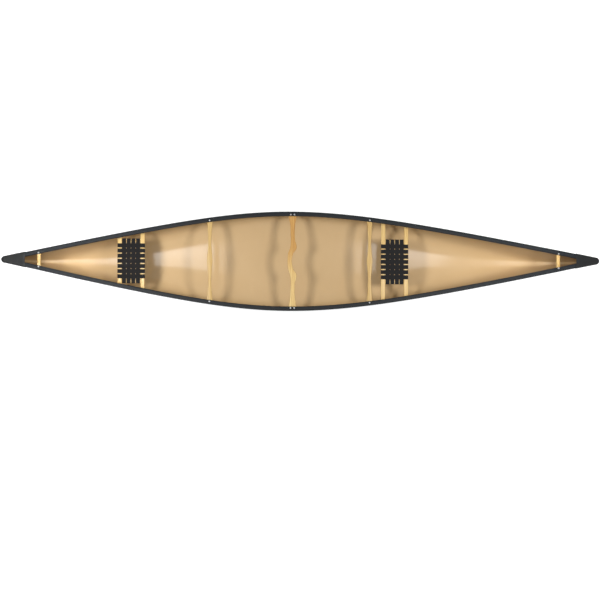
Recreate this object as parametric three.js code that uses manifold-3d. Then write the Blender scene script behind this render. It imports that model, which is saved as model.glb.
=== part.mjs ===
// A seventeen-foot tandem canoe: a moulded laminate hull with vinyl gunwales over aluminium inserts,
// deck caps, a carrying yoke, two thwarts, two carry handles and two webbed seats on hangers.
// Millimetres. +X points to the bow, +Y to port, +Z up. The origin is amidships on the keel line.
import * as THREE from "three";
import { mergeVertices } from "three/addons/utils/BufferGeometryUtils.js";
import Module from "manifold-3d";

const wasm = await Module();
wasm.setup();

// ---------------------------------------------------------------- driving dimensions

const LENGTH = 5182; // overall, over the deck caps
const GAP = 0.35; // clearance kept between neighbouring pieces
const SIDES = { port: 1, starboard: -1 };

// Gunwale top seen from the side: a parabola from its low point, easing off towards each deck cap.
const SHEER = {
  low: 352.8,
  lowX: -100,
  bow: { curve: 3.863e-5, easeRun: 2250, capRun: 2490, capRise: 232.7, deckSlope: 0 },
  stern: { curve: 3.33e-5, easeRun: 2100, capRun: 2295, capRise: 173.0, deckSlope: 0.113 },
};

// Outer edge of the gunwale seen from above: a hyperbola for each half.
const PLAN = {
  halfBeam: 443.3,
  wideX: -85,
  bow: { bend: 241.7, slope: 0.2318 },
  stern: { bend: 256.5, slope: 0.2515 },
};

// Keel line: level amidships, a slight rocker, then a cubic curve up each stem.
const KEEL = {
  levelRun: 200,
  rockerPower: 2.2,
  bow: { start: [2050, 26], foot: [2467, 39], breast: [2488, 122], head: [2576, 577] },
  stern: { start: [-1950, 31], foot: [-2569, 50], breast: [-2448, 112], head: [-2583, 538] },
};

const HULL = {
  wall: 5.3,
  keelStrip: 30, // half-width of the flat along the keel amidships
  stemStrip: 4, // half-width of the flat up each stem
  tumblehome: 9,
  stemThickness: 26, // solid laminate behind the stem's edge
  fairing: 1.6, // how quickly the sections fine down towards the ends
};

const GUNWALE = {
  width: 40,
  height: 28,
  outwale: 9,
  slot: 6,
  skin: 4,
  web: 2.5,
  innerWeb: 3,
  endUnderCap: 22,
};

const CAP = { length: 199, overlap: 3.6, noseRadius: 31, plate: 3, skirt: 34, rake: 10 };

const CROSS_THICKNESS = 19;
const YOKE = { x: -62, boltSpacing: 33, boltInset: 27 };
const THWARTS = { stern_thwart: -800, bow_thwart: 624 };
const HANDLES = { stern_carry_handle: -2278, bow_carry_handle: 2246 };
const HANDLE_BOLT_INSET = 31;
const BOLT = { headRadius: 7.5, headHeight: 3.2, shankRadius: 3, segments: 10 };
const NUT = { acrossCorners: 12.7, height: 5.5 };

const SEATS = { stern: -1506.5, bow: 854.5 };
const SEAT = {
  depth: 243,
  width: 400,
  rail: 37,
  thickness: 20,
  belowSheer: 95,
  webThickness: 2.4,
  strapSpanX: 160,
  strapSpanY: 313,
};
const HANGER = { width: 30, thickness: 3, reach: 19, hullClearance: 2.5 };

const MIDSHIP_STEP = 134;
const STEM_STATIONS = 8;
const SECTION_STEPS = 11;

// ---------------------------------------------------------------- materials

const materials = {
  hull: new THREE.MeshStandardMaterial({ color: 0x07574a, roughness: 0.35, metalness: 0 }),
  vinyl: new THREE.MeshStandardMaterial({ color: 0x34383b, roughness: 0.55, metalness: 0 }),
  cap: new THREE.MeshStandardMaterial({ color: 0x2b2b2b, roughness: 0.5, metalness: 0 }),
  aluminium: new THREE.MeshStandardMaterial({ color: 0xb9bcc0, roughness: 0.4, metalness: 1 }),
  steel: new THREE.MeshStandardMaterial({ color: 0xc8c9ca, roughness: 0.25, metalness: 1 }),
  ash: new THREE.MeshStandardMaterial({ color: 0xeccb8c, roughness: 0.45, metalness: 0 }),
  webbing: new THREE.MeshStandardMaterial({ color: 0x2f2d2c, roughness: 0.85, metalness: 0 }),
};

// ---------------------------------------------------------------- solids

const FLAT = {
  x: (p) => new THREE.Vector2(p.y, p.z),
  y: (p) => new THREE.Vector2(p.z, p.x),
  z: (p) => new THREE.Vector2(p.x, p.y),
};

// A closed solid through rings of equal count. The rings advance along the axis and turn
// anticlockwise about it; the first and last are closed with flat ends.
function loft(rings, axis) {
  const count = rings[0].length;
  const last = (rings.length - 1) * count;
  const faces = [];
  for (let base = 0; base < last; base += count)
    for (let i = 0; i < count; i += 1) {
      const a = base + i;
      const b = base + ((i + 1) % count);
      faces.push(a, b, b + count, a, b + count, a + count);
    }
  const endFaces = (ring) => THREE.ShapeUtils.triangulateShape(ring.map(FLAT[axis]), []);
  for (const [i, j, k] of endFaces(rings[0])) faces.push(k, j, i);
  for (const [i, j, k] of endFaces(rings.at(-1))) faces.push(last + i, last + j, last + k);
  const geometry = new THREE.BufferGeometry().setFromPoints(rings.flat());
  geometry.setIndex(faces);
  return geometry;
}

// A geometry, moved by a matrix, as a solid for joins and cuts.
function solidOf(geometry, matrix = new THREE.Matrix4()) {
  const bare = new THREE.BufferGeometry();
  bare.setAttribute("position", geometry.getAttribute("position").clone());
  if (geometry.index) bare.setIndex(geometry.index);
  bare.applyMatrix4(matrix);
  const merged = mergeVertices(bare, 1e-3);
  const mesh = new wasm.Mesh({
    numProp: 3,
    vertProperties: merged.getAttribute("position").array,
    triVerts: new Uint32Array(merged.index.array),
  });
  return new wasm.Manifold(mesh);
}

function geometryOf(solid) {
  const mesh = solid.getMesh();
  const geometry = new THREE.BufferGeometry();
  geometry.setAttribute("position", new THREE.BufferAttribute(mesh.vertProperties, 3));
  geometry.setIndex(new THREE.BufferAttribute(mesh.triVerts, 1));
  return geometry;
}

// A box given by its low and high corners.
function box(low, high) {
  const size = high.map((value, i) => value - low[i]);
  const geometry = new THREE.BoxGeometry(...size);
  return geometry.translate(...low.map((value, i) => value + size[i] / 2));
}

function addPiece(parent, name, geometry, material) {
  geometry.computeVertexNormals();
  const mesh = new THREE.Mesh(geometry, material);
  mesh.name = name;
  parent.add(mesh);
  return mesh;
}

// ---------------------------------------------------------------- hull lines

const endOf = (lines, x, middle) => (x > middle ? lines.bow : lines.stern);

function sheerHeight(x) {
  const end = endOf(SHEER, x, SHEER.lowX);
  const run = Math.abs(x - SHEER.lowX);
  if (run <= end.easeRun) return SHEER.low + end.curve * run ** 2;
  const easeRise = end.curve * end.easeRun ** 2;
  const easeSlope = 2 * end.curve * end.easeRun;
  const span = end.capRun - end.easeRun;
  const bend = (end.capRise - easeRise - easeSlope * span) / span ** 2;
  const eased = Math.min(run, end.capRun) - end.easeRun;
  const deck = Math.max(0, run - end.capRun) * end.deckSlope;
  return SHEER.low + easeRise + easeSlope * eased + bend * eased ** 2 + deck;
}

const sheerSlope = (x) => (sheerHeight(x + 5) - sheerHeight(x - 5)) / 10;

function gunwaleBreadth(x) {
  const end = endOf(PLAN, x, PLAN.wideX);
  return PLAN.halfBeam + end.bend - Math.hypot(end.bend, end.slope * (x - PLAN.wideX));
}

function keelHeight(x) {
  const [startX, startZ] = endOf(KEEL, x, 0).start;
  const run = Math.max(0, Math.abs(x) - KEEL.levelRun);
  return startZ * (run / (Math.abs(startX) - KEEL.levelRun)) ** KEEL.rockerPower;
}

// One station of the hull: its keel point and its edge point in side view, with the keel
// point's inward direction. Stations stand upright amidships and fan out round each stem.
function uprightStation(x) {
  const keel = new THREE.Vector2(x, keelHeight(x));
  const inward = new THREE.Vector2(0, 1);
  return { keel, inward, edgeX: x, stem: 0 };
}

function stemStations(end) {
  const points = [end.start, end.foot, end.breast, end.head];
  const curve = new THREE.CubicBezierCurve(...points.map((p) => new THREE.Vector2(...p)));
  const sign = Math.sign(end.head[0]);
  const stations = [];
  for (let i = 1; i <= STEM_STATIONS; i += 1) {
    const t = i / STEM_STATIONS;
    const keel = curve.getPoint(t);
    const along = curve.getTangent(t);
    const inward = new THREE.Vector2(-along.y * sign, along.x * sign);
    const setBack = 65 * Math.sin(Math.PI * t) + 5 * t;
    stations.push({ keel, inward, edgeX: keel.x - sign * setBack, stem: t });
  }
  return stations;
}

function hullStations() {
  const from = KEEL.stern.start[0];
  const to = KEEL.bow.start[0];
  const steps = Math.round((to - from) / MIDSHIP_STEP);
  const upright = [];
  for (let i = 0; i <= steps; i += 1) upright.push(uprightStation(from + ((to - from) * i) / steps));
  return [...stemStations(KEEL.stern).reverse(), ...upright, ...stemStations(KEEL.bow)];
}

const rimHeight = (x) => sheerHeight(x) - GUNWALE.skin - GAP;
const shoulderHeight = (x) => sheerHeight(x) - GUNWALE.height - 3;
const rimBreadth = (x) => gunwaleBreadth(x) - GUNWALE.outwale - GAP;

// Section shape at one station: rise and spread both run from 0 at the keel to 1 at the rim.
function sectionShape(x) {
  const full = 1 - (Math.abs(x) / KEEL.bow.head[0]) ** HULL.fairing;
  const strip = HULL.stemStrip + (HULL.keelStrip - HULL.stemStrip) * Math.max(0, full) ** 0.5;
  return {
    side: 1.3 + 3.7 * Math.max(0, full),
    bottom: 1.25 + 1.25 * Math.max(0, full),
    strip,
    tumblehome: HULL.tumblehome * Math.max(0, full),
  };
}

function sectionBreadth(shape, rimHalf, strip, rise, spread) {
  const round = (rimHalf + shape.tumblehome - strip) * spread;
  return strip + round - shape.tumblehome * rise ** 4;
}

// One side of a section, from the keel up, as points of (x, y, z): curved up to the shoulder,
// then plumb to the rim, which stands in the gunwale's slot.
function sectionSide(station, inset) {
  const { keel, inward, edgeX, stem } = station;
  const shape = sectionShape((keel.x + edgeX) / 2);
  const thick = inset * (1 + (HULL.stemThickness / HULL.wall - 1) * stem ** 0.5);
  const low = keel.clone().addScaledVector(inward, thick);
  const highX = edgeX - Math.sign(edgeX) * (thick - inset);
  const high = new THREE.Vector2(highX, Math.max(shoulderHeight(highX), low.y + 1));
  const strip = inset ? Math.max(1, shape.strip - 2 * inset * stem) : shape.strip;
  const rimHalf = rimBreadth(high.x) - inset;
  const points = [];
  for (let i = 0; i <= SECTION_STEPS; i += 1) {
    const angle = ((Math.PI / 2) * i) / SECTION_STEPS;
    const rise = i === SECTION_STEPS ? 1 : 1 - Math.cos(angle) ** (2 / shape.side);
    const spread = Math.sin(angle) ** (2 / shape.bottom);
    const { x, y: z } = low.clone().lerp(high, rise);
    const breadth = Math.min(strip, rimHalf * 0.3);
    points.push(new THREE.Vector3(x, sectionBreadth(shape, rimHalf, breadth, rise, spread), z));
  }
  points.push(points.at(-1).clone().setZ(rimHeight(highX)));
  return points;
}

const mirrored = (points) => points.map((p) => new THREE.Vector3(p.x, -p.y, p.z)).reverse();

// Half-width inside the hull at a place amidships.
function insideBreadth(x, z) {
  const shape = sectionShape(x);
  const floor = keelHeight(x) + HULL.wall;
  const rise = Math.min(1, (z - floor) / (shoulderHeight(x) - floor));
  const cosine = (1 - rise) ** (shape.side / 2);
  const spread = (1 - cosine ** 2) ** (1 / shape.bottom);
  return sectionBreadth(shape, rimBreadth(x) - HULL.wall, shape.strip, rise, spread);
}

function hullGeometry(stations) {
  const outer = stations.map((station) => {
    const side = sectionSide(station, 0);
    return [...mirrored(side), ...side];
  });
  const hollow = stations.slice(1, -1).map((station) => {
    const side = sectionSide(station, HULL.wall);
    side.at(-1).z += 20;
    return [...mirrored(side), ...side];
  });
  return geometryOf(solidOf(loft(outer, "x")).subtract(solidOf(loft(hollow, "x"))));
}

// ---------------------------------------------------------------- gunwales

// Cross-section as (distance in from the outer edge, height below the top): a comb whose first
// slot holds the rim of the hull and whose second holds the aluminium insert.
function gunwaleProfile() {
  const { width, height, outwale, slot, skin, web, innerWeb } = GUNWALE;
  const inwale = outwale + slot;
  return [
    [0, -height + 2], [2, -height - 2], [outwale, -height - 2], [outwale, -skin],
    [inwale, -skin], [inwale, -height], [inwale + web, -height], [inwale + web, -skin],
    [width - innerWeb, -skin], [width - innerWeb, -height], [width, -height],
    [width, -5], [width - 1.5, -1.5], [width - 5, 0], [5, 0], [1.5, -1.5], [0, -5],
  ];
}

// An open channel that fills the second slot.
function insertProfile() {
  const from = GUNWALE.outwale + GUNWALE.slot + GUNWALE.web + GAP;
  const to = GUNWALE.width - GUNWALE.innerWeb - GAP;
  const top = -GUNWALE.skin - GAP;
  const bottom = -GUNWALE.height;
  const wall = 2;
  return [
    [from, top], [from, bottom], [from + wall, bottom], [from + wall, top - wall],
    [to - wall, top - wall], [to - wall, bottom], [to, bottom], [to, top],
  ];
}

function alongSheer(profile, xs, side) {
  const turned = side > 0 ? [...profile].reverse() : profile;
  const rings = xs.map((x) =>
    turned.map(([inset, rise]) => {
      return new THREE.Vector3(x, side * (gunwaleBreadth(x) - inset), sheerHeight(x) + rise);
    }),
  );
  return loft(rings, "x");
}

function gunwaleStations(stations) {
  const end = LENGTH / 2 - CAP.length + GUNWALE.endUnderCap;
  const between = stations.map((s) => s.edgeX).filter((x) => Math.abs(x) < end - 9);
  return [-end, ...between, end];
}

// ---------------------------------------------------------------- deck caps

// Plan outline of a cap, anticlockwise, drawn in by an inset: inboard edge, straight sides, round nose.
function capRing(sign, inset, drop) {
  const tip = LENGTH / 2 - inset;
  const inboard = LENGTH / 2 - CAP.length;
  const half = gunwaleBreadth(sign * inboard) + CAP.overlap - inset;
  const radius = CAP.noseRadius - inset;
  const centre = tip - radius;
  const lean = Math.atan2(half - radius, centre - inboard);
  const corner = 5;
  const outline = [
    [inboard, -half + corner], [inboard + corner, -half],
  ];
  const steps = 8;
  for (let i = 0; i <= steps; i += 1) {
    const angle = (Math.PI / 2 - lean) * ((2 * i) / steps - 1);
    outline.push([centre + radius * Math.cos(angle), radius * Math.sin(angle)]);
  }
  outline.push([inboard + corner, half], [inboard, half - corner]);
  const level = sheerHeight(sign * inboard) + CAP.plate + 0.5;
  const points = outline.map(([x, y]) => {
    const run = (x - inboard) / CAP.length;
    const raked = x - (CAP.rake * run ** 2 * Math.max(0, drop - 4)) / CAP.skirt;
    const rise = run * CAP.length * endOf(SHEER, sign, 0).deckSlope;
    return new THREE.Vector3(sign * raked, y, level + rise - drop);
  });
  return sign > 0 ? points : points.reverse();
}

// A moulded shell: top plate, side skirts and nose, open below and at its inboard end.
function capGeometry(sign) {
  const outer = loft(
    [
      capRing(sign, 0.5, CAP.skirt),
      capRing(sign, 0, 4),
      capRing(sign, 1.2, 1.2),
      capRing(sign, 4, 0),
    ],
    "z",
  );
  const inner = [capRing(sign, CAP.plate, CAP.skirt + 10), capRing(sign, CAP.plate, CAP.plate)];
  const opened = inner.map((ring) =>
    ring.map((p) => {
      const past = Math.abs(p.x) < LENGTH / 2 - CAP.length + 2;
      return past ? p.clone().setX(p.x - sign * 20) : p;
    }),
  );
  return geometryOf(solidOf(outer).subtract(solidOf(loft(opened, "z"))));
}

// ---------------------------------------------------------------- yoke, thwarts, handles

// Where a cross-piece hangs: its origin on the gunwale's top line, pitched with the sheer.
function crossFrame(x) {
  const group = new THREE.Group();
  group.position.set(x, 0, sheerHeight(x));
  group.rotation.y = -Math.atan(sheerSlope(x));
  group.updateMatrix();
  return group;
}

// A flat wooden bar along Y between two plan edges given as [y, x] control points for one half.
function barGeometry(foreEdge, aftEdge, halfLength, stepsPerHalf) {
  const smooth = (edge) =>
    new THREE.SplineCurve(edge.map(([share, x]) => new THREE.Vector2(share * halfLength, x)));
  const [fore, aft] = [smooth(foreEdge), smooth(aftEdge)];
  const top = -GUNWALE.height - GAP;
  const bottom = top - CROSS_THICKNESS;
  const round = 3;
  const rings = [];
  for (let i = -stepsPerHalf; i <= stepsPerHalf; i += 1) {
    const t = Math.abs(i) / stepsPerHalf;
    const { x: reach, y: foreX } = fore.getPoint(t);
    const aftX = aft.getPoint(t).y;
    const y = Math.sign(i) * reach;
    const corners = [
      [aftX, bottom + round], [aftX, top - round], [aftX + round, top], [foreX - round, top],
      [foreX, top - round], [foreX, bottom + round], [foreX - round, bottom], [aftX + round, bottom],
    ];
    rings.push(corners.map(([x, z]) => new THREE.Vector3(x, y, z)));
  }
  return loft(rings, "y");
}

const symmetricEdges = (edge) => [edge, edge.map(([share, x]) => [share, -x])];

// Carved for the shoulders: a forward bulge on each side of a neck that is set aft.
function yokeGeometry(halfLength) {
  const fore = [[0, -9], [0.16, 6], [0.29, 37], [0.45, 22], [0.61, 19], [0.77, 22], [0.92, 34], [1, 34]];
  const aft = [[0, -46], [0.16, -41], [0.29, -22], [0.45, -16], [0.61, -19], [0.77, -22], [0.92, -34], [1, -34]];
  return barGeometry(fore, aft, halfLength, 14);
}

function thwartGeometry(halfLength) {
  const edge = [[0, 26.5], [0.2, 20], [0.4, 14], [0.6, 15], [0.8, 20], [1, 27]];
  return barGeometry(...symmetricEdges(edge), halfLength, 8);
}

function handleGeometry(halfLength) {
  return barGeometry(...symmetricEdges([[0, 14.5], [0.5, 15], [1, 17.5]]), halfLength, 4);
}

// Dome-headed bolt standing on its frame's plane, shank down to the given depth.
function boltGeometry(depth) {
  const { headRadius, headHeight, shankRadius, segments } = BOLT;
  const profile = [
    [0, -depth], [shankRadius, -depth], [shankRadius, GAP], [headRadius, GAP],
    [headRadius * 0.8, GAP + headHeight * 0.7], [0, GAP + headHeight],
  ];
  const points = profile.map(([r, z]) => new THREE.Vector2(r, z));
  return new THREE.LatheGeometry(points, segments).rotateX(Math.PI / 2);
}

function nutGeometry() {
  const outline = new THREE.Shape();
  outline.setFromPoints(polygon(NUT.acrossCorners / 2, 6));
  outline.holes.push(new THREE.Path(polygon(BOLT.shankRadius + GAP, BOLT.segments)));
  return new THREE.ExtrudeGeometry(outline, { depth: NUT.height, bevelEnabled: false });
}

function polygon(radius, sides) {
  const points = [];
  for (let i = 0; i < sides; i += 1) {
    const angle = (2 * Math.PI * i) / sides;
    points.push(new THREE.Vector2(radius * Math.cos(angle), radius * Math.sin(angle)));
  }
  return points;
}

// Removes a round hole at each matrix's origin, along its local Z.
function drilled(geometry, places, top, bottom) {
  const radius = BOLT.shankRadius + GAP;
  const drill = new THREE.CylinderGeometry(radius, radius, top - bottom, BOLT.segments);
  drill.rotateX(Math.PI / 2).translate(0, 0, (top + bottom) / 2);
  let solid = solidOf(geometry);
  for (const place of places) solid = solid.subtract(solidOf(drill, place));
  return geometryOf(solid);
}

// Every cross-piece: its wood, its bolts and, where they pass right through, their nuts.
function crossPieces() {
  const list = [];
  const add = (name, x, make, reach, inset, offsets, nuts) => {
    list.push({ name, x, make, halfLength: gunwaleBreadth(x) - reach, inset, offsets, nuts });
  };
  const half = YOKE.boltSpacing / 2;
  add("center_yoke", YOKE.x, yokeGeometry, 18, YOKE.boltInset, [-half, half], true);
  for (const [name, x] of Object.entries(THWARTS))
    add(name, x, thwartGeometry, 19.5, YOKE.boltInset, [0], true);
  for (const [name, x] of Object.entries(HANDLES))
    add(name, x, handleGeometry, 23.5, HANDLE_BOLT_INSET, [0], false);
  return list;
}

function boltPlaces(piece) {
  const places = [];
  for (const [sideName, side] of Object.entries(SIDES))
    piece.offsets.forEach((offset, i) => {
      const label = piece.offsets.length > 1 ? `_${i + 1}` : "";
      const y = side * (gunwaleBreadth(piece.x + offset) - piece.inset);
      places.push({ label: `${sideName}${label}`, x: offset, y });
    });
  return places;
}

function addCrossPiece(parent, piece) {
  const frame = crossFrame(piece.x);
  const places = boltPlaces(piece);
  const local = places.map(({ x, y }) => new THREE.Matrix4().makeTranslation(x, y, 0));
  const under = -GUNWALE.height - GAP - CROSS_THICKNESS;
  const depth = piece.nuts ? -under + GAP + NUT.height + 2 : -under - 4;
  const holeBottom = piece.nuts ? under - 5 : -depth - GAP;
  const wood = drilled(piece.make(piece.halfLength), local, 0, holeBottom);
  addPiece(frame, piece.name, wood, materials.ash);
  places.forEach(({ label, x, y }) => {
    const bolt = addPiece(frame, `bolt_${piece.name}_${label}`, boltGeometry(depth), materials.steel);
    bolt.position.set(x, y, 0);
    if (!piece.nuts) return;
    const nut = addPiece(frame, `nut_${piece.name}_${label}`, nutGeometry(), materials.steel);
    nut.position.set(x, y, under - GAP - NUT.height);
  });
  parent.add(frame);
  return local.map((matrix) => frame.matrix.clone().multiply(matrix));
}

// ---------------------------------------------------------------- seats

// A bar with chamfered long edges, centred on its place; along is "x" or "y".
function railGeometry(along, halfLength, width, thickness) {
  const round = 3;
  const [w, t] = [width / 2, thickness / 2];
  const section = [
    [-w, -t + round], [-w + round, -t], [w - round, -t], [w, -t + round],
    [w, t - round], [w - round, t], [-w + round, t], [-w, t - round],
  ];
  if (along === "y") section.reverse();
  const place = { x: (end, a, b) => [end, a, b], y: (end, a, b) => [a, end, b] }[along];
  const rings = [-halfLength, halfLength].map((end) =>
    section.map(([a, b]) => new THREE.Vector3(...place(end, a, b))),
  );
  return loft(rings, along);
}

// The woven panel with its returns round the four rails, as one plain skin.
function webbingGeometry() {
  const { depth, width, rail, thickness, webThickness: skin, strapSpanX, strapSpanY } = SEAT;
  const [halfX, halfY] = [depth / 2 + GAP, width / 2 + GAP];
  const [low, high] = [-thickness - GAP, GAP];
  const [spanX, spanY] = [strapSpanX / 2, strapSpanY / 2];
  const inner = { x: depth / 2 - rail + 4, y: width / 2 - rail + 4 };
  const boxes = [
    box([-halfX - skin, -spanY, high], [halfX + skin, spanY, high + skin]),
    box([-spanX, -halfY - skin, high], [spanX, halfY + skin, high + skin]),
  ];
  for (const side of [-1, 1]) {
    const span = (from, to) => (side > 0 ? [from, to] : [-to, -from]);
    const [wallX, lipX] = [span(halfX, halfX + skin), span(inner.x, halfX + skin)];
    const [wallY, lipY] = [span(halfY, halfY + skin), span(inner.y, halfY + skin)];
    boxes.push(
      box([wallX[0], -spanY, low - skin], [wallX[1], spanY, high + skin]),
      box([lipX[0], -spanY, low - skin], [lipX[1], spanY, low]),
      box([-spanX, wallY[0], low - skin], [spanX, wallY[1], high + skin]),
      box([-spanX, lipY[0], low - skin], [spanX, lipY[1], low]),
    );
  }
  const [first, ...rest] = boxes.map((piece) => solidOf(piece));
  return geometryOf(rest.reduce((whole, piece) => whole.add(piece), first));
}

// Outer face of a hanger's web, just inside the hull at the rail it carries.
function hangerReach(x, footZ) {
  const corners = [x - HANGER.width / 2, x + HANGER.width / 2];
  const inside = corners.flatMap((cx) => [insideBreadth(cx, footZ), insideBreadth(cx, footZ + 60)]);
  return Math.min(...inside) - HANGER.hullClearance;
}

// A C-shaped bracket: a flange under the inwale, a web down beside the hull, a foot under the rail.
function hangerGeometry(side, web, flangeZ, footZ) {
  const { reach, thickness: t, width } = HANGER;
  const foot = 26;
  const outline = [
    [web - reach, flangeZ], [web - reach, flangeZ - t], [web - t, flangeZ - t], [web - t, footZ],
    [web - foot, footZ], [web - foot, footZ - t], [web, footZ - t], [web, flangeZ],
  ];
  const shape = new THREE.Shape(outline.map(([y, z]) => new THREE.Vector2(side * y, z)));
  const geometry = new THREE.ExtrudeGeometry(shape, { depth: width, bevelEnabled: false });
  geometry.translate(0, 0, -width / 2);
  const turn = new THREE.Matrix4().makeBasis(
    new THREE.Vector3(0, 1, 0),
    new THREE.Vector3(0, 0, 1),
    new THREE.Vector3(1, 0, 0),
  );
  return geometry.applyMatrix4(turn);
}

function seatScrewGeometry(length) {
  const [headRadius, headHeight, radius] = [5, 2.6, 2.2];
  const profile = [
    [0, -headHeight - GAP], [headRadius * 0.7, -headHeight - GAP], [headRadius, -GAP],
    [radius, -GAP], [radius, length], [0, length],
  ];
  const points = profile.map(([r, z]) => new THREE.Vector2(r, z));
  return new THREE.LatheGeometry(points, 8).rotateX(Math.PI / 2);
}

function addSeat(parent, seatName, centreX) {
  const { depth, width, rail, thickness, belowSheer } = SEAT;
  const topZ = sheerHeight(centreX) - belowSheer;
  const footZ = topZ - thickness - GAP;
  const rails = { front: centreX + (depth - rail) / 2, rear: centreX - (depth - rail) / 2 };
  for (const [railName, x] of Object.entries(rails)) {
    const web = hangerReach(x, footZ - HANGER.thickness);
    const halfLength = web - HANGER.thickness - GAP;
    const slack = (Math.abs(sheerSlope(x)) * HANGER.width) / 2 + 0.3;
    const flangeZ = sheerHeight(x) - GUNWALE.height - GAP - slack;
    const screwY = halfLength - 12;
    const holes = [];
    for (const [sideName, side] of Object.entries(SIDES)) {
      const place = new THREE.Matrix4().makeTranslation(x, side * screwY, footZ - HANGER.thickness);
      holes.push(place);
      const shape = hangerGeometry(side, web, flangeZ, footZ).translate(x, 0, 0);
      const hanger = drilled(shape, [place], 6, -1);
      addPiece(parent, `hanger_${seatName}_${railName}_${sideName}`, hanger, materials.aluminium);
      const screw = seatScrewGeometry(HANGER.thickness + 14);
      const screwName = `seat_screw_${seatName}_${railName}_${sideName}`;
      addPiece(parent, screwName, screw, materials.steel).applyMatrix4(place);
    }
    const bar = railGeometry("y", halfLength, rail, thickness).translate(x, 0, topZ - thickness / 2);
    const drilledBar = drilled(bar, holes, HANGER.thickness + 14 + GAP, 1);
    addPiece(parent, `${seatName}_seat_${railName}_rail`, drilledBar, materials.ash);
  }
  const sideHalf = depth / 2 - rail - GAP;
  for (const [sideName, side] of Object.entries(SIDES)) {
    const bar = railGeometry("x", sideHalf, rail, thickness);
    const mesh = addPiece(parent, `${seatName}_seat_${sideName}_rail`, bar, materials.ash);
    mesh.position.set(centreX, (side * (width - rail)) / 2, topZ - thickness / 2);
  }
  const webbing = addPiece(parent, `${seatName}_seat_webbing`, webbingGeometry(), materials.webbing);
  webbing.position.set(centreX, 0, topZ);
}

// ---------------------------------------------------------------- assembly

function buildCanoe() {
  const canoe = new THREE.Group();
  const stations = hullStations();
  addPiece(canoe, "hull_shell", hullGeometry(stations), materials.hull);

  const boltFrames = crossPieces().flatMap((piece) => addCrossPiece(canoe, piece));
  const xs = gunwaleStations(stations);
  for (const [sideName, side] of Object.entries(SIDES)) {
    const holes = boltFrames.filter((frame) => frame.elements[13] * side > 0);
    const vinyl = drilled(alongSheer(gunwaleProfile(), xs, side), holes, 5, -12);
    addPiece(canoe, `gunwale_${sideName}`, vinyl, materials.vinyl);
    const insert = drilled(alongSheer(insertProfile(), xs, side), holes, 5, -12);
    addPiece(canoe, `gunwale_insert_${sideName}`, insert, materials.aluminium);
  }

  addPiece(canoe, "bow_deck_cap", capGeometry(1), materials.cap);
  addPiece(canoe, "stern_deck_cap", capGeometry(-1), materials.cap);
  for (const [seatName, centreX] of Object.entries(SEATS)) addSeat(canoe, seatName, centreX);
  return canoe;
}

export default buildCanoe();
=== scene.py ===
"""A seventeen-foot tandem canoe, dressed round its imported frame.

Lines are kept in millimetres, as on the drawing board, and every mesh is made in metres.
+X points to the bow, +Y to port, +Z up.
"""

import logging
import math
from collections.abc import Callable, Sequence
from dataclasses import dataclass
from enum import Enum

import bmesh
import bpy
from mathutils import Matrix, Vector
from mathutils.bvhtree import BVHTree


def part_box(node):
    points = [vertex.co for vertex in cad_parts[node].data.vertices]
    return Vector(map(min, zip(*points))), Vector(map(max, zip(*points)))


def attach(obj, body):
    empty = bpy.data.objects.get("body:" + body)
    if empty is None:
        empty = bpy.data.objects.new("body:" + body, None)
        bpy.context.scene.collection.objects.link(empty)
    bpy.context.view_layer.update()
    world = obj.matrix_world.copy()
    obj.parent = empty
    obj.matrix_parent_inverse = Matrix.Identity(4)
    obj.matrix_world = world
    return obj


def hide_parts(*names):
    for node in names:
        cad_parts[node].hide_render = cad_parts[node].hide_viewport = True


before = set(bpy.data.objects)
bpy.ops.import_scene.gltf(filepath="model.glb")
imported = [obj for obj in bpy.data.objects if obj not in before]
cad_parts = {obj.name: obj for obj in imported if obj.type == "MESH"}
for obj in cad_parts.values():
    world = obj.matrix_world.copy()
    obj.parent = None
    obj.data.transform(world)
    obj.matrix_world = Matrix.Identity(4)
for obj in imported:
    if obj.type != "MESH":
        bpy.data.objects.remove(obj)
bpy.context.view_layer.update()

LOG = logging.getLogger("canoe")
MM = 0.001
SIDES = {"port": 1, "starboard": -1}


class Slot(Enum):
    """Material slots that the record names."""

    HULL = "hull"
    GUNWALE = "gunwale_vinyl"
    CAP = "deck_cap"
    HANGER = "hanger_aluminium"
    WOOD = "ash_wood"
    WEBBING = "seat_webbing"
    FASTENER = "fastener_steel"


class Grain(Enum):
    """Direction that a board's grain runs in."""

    FORE_AND_AFT = "x"
    ATHWART = "y"


# ------------------------------------------------------------------ nodes and finishes


def linear(hex_colour: str) -> tuple[float, float, float, float]:
    """Turn an sRGB hex colour into a linear one.

    Args:
        hex_colour: Six hex digits, such as "d4b487".

    Returns:
        Red, green, blue and an alpha of 1.
    """
    channels = [int(hex_colour[i : i + 2], 16) / 255 for i in (0, 2, 4)]
    red, green, blue = [
        c / 12.92 if c <= 0.04045 else ((c + 0.055) / 1.055) ** 2.4 for c in channels
    ]
    return red, green, blue, 1.0


def pattern_scale(size: float) -> float:
    """Turn the size of a pattern's grain, in millimetres, into a texture's scale."""
    return 1 / (size * MM)


def add_node(
    tree: bpy.types.NodeTree,
    kind: str,
    settings: dict[str, object] | None = None,
    inputs: dict[str | int, object] | None = None,
    stops: Sequence[tuple[float, str]] = (),
) -> bpy.types.Node:
    """Add a node with its settings, links and, on a ramp, its colour stops.

    Args:
        tree: Node tree that gets the node.
        kind: Blender's name for the node type.
        settings: Properties of the node.
        inputs: A value or another node's output for each input.
        stops: Position and hex colour of each stop of a colour ramp.

    Returns:
        The new node.
    """
    node = tree.nodes.new(kind)
    for key, value in (settings or {}).items():
        setattr(node, key, value)
    for key, value in (inputs or {}).items():
        if isinstance(value, bpy.types.NodeSocket):
            tree.links.new(value, node.inputs[key])
        else:
            node.inputs[key].default_value = value
    for index, (position, colour) in enumerate(stops):
        ramp = node.color_ramp.elements
        stop = ramp[index] if index < 2 else ramp.new(position)
        stop.position = position
        stop.color = linear(colour)
    return node


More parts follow.
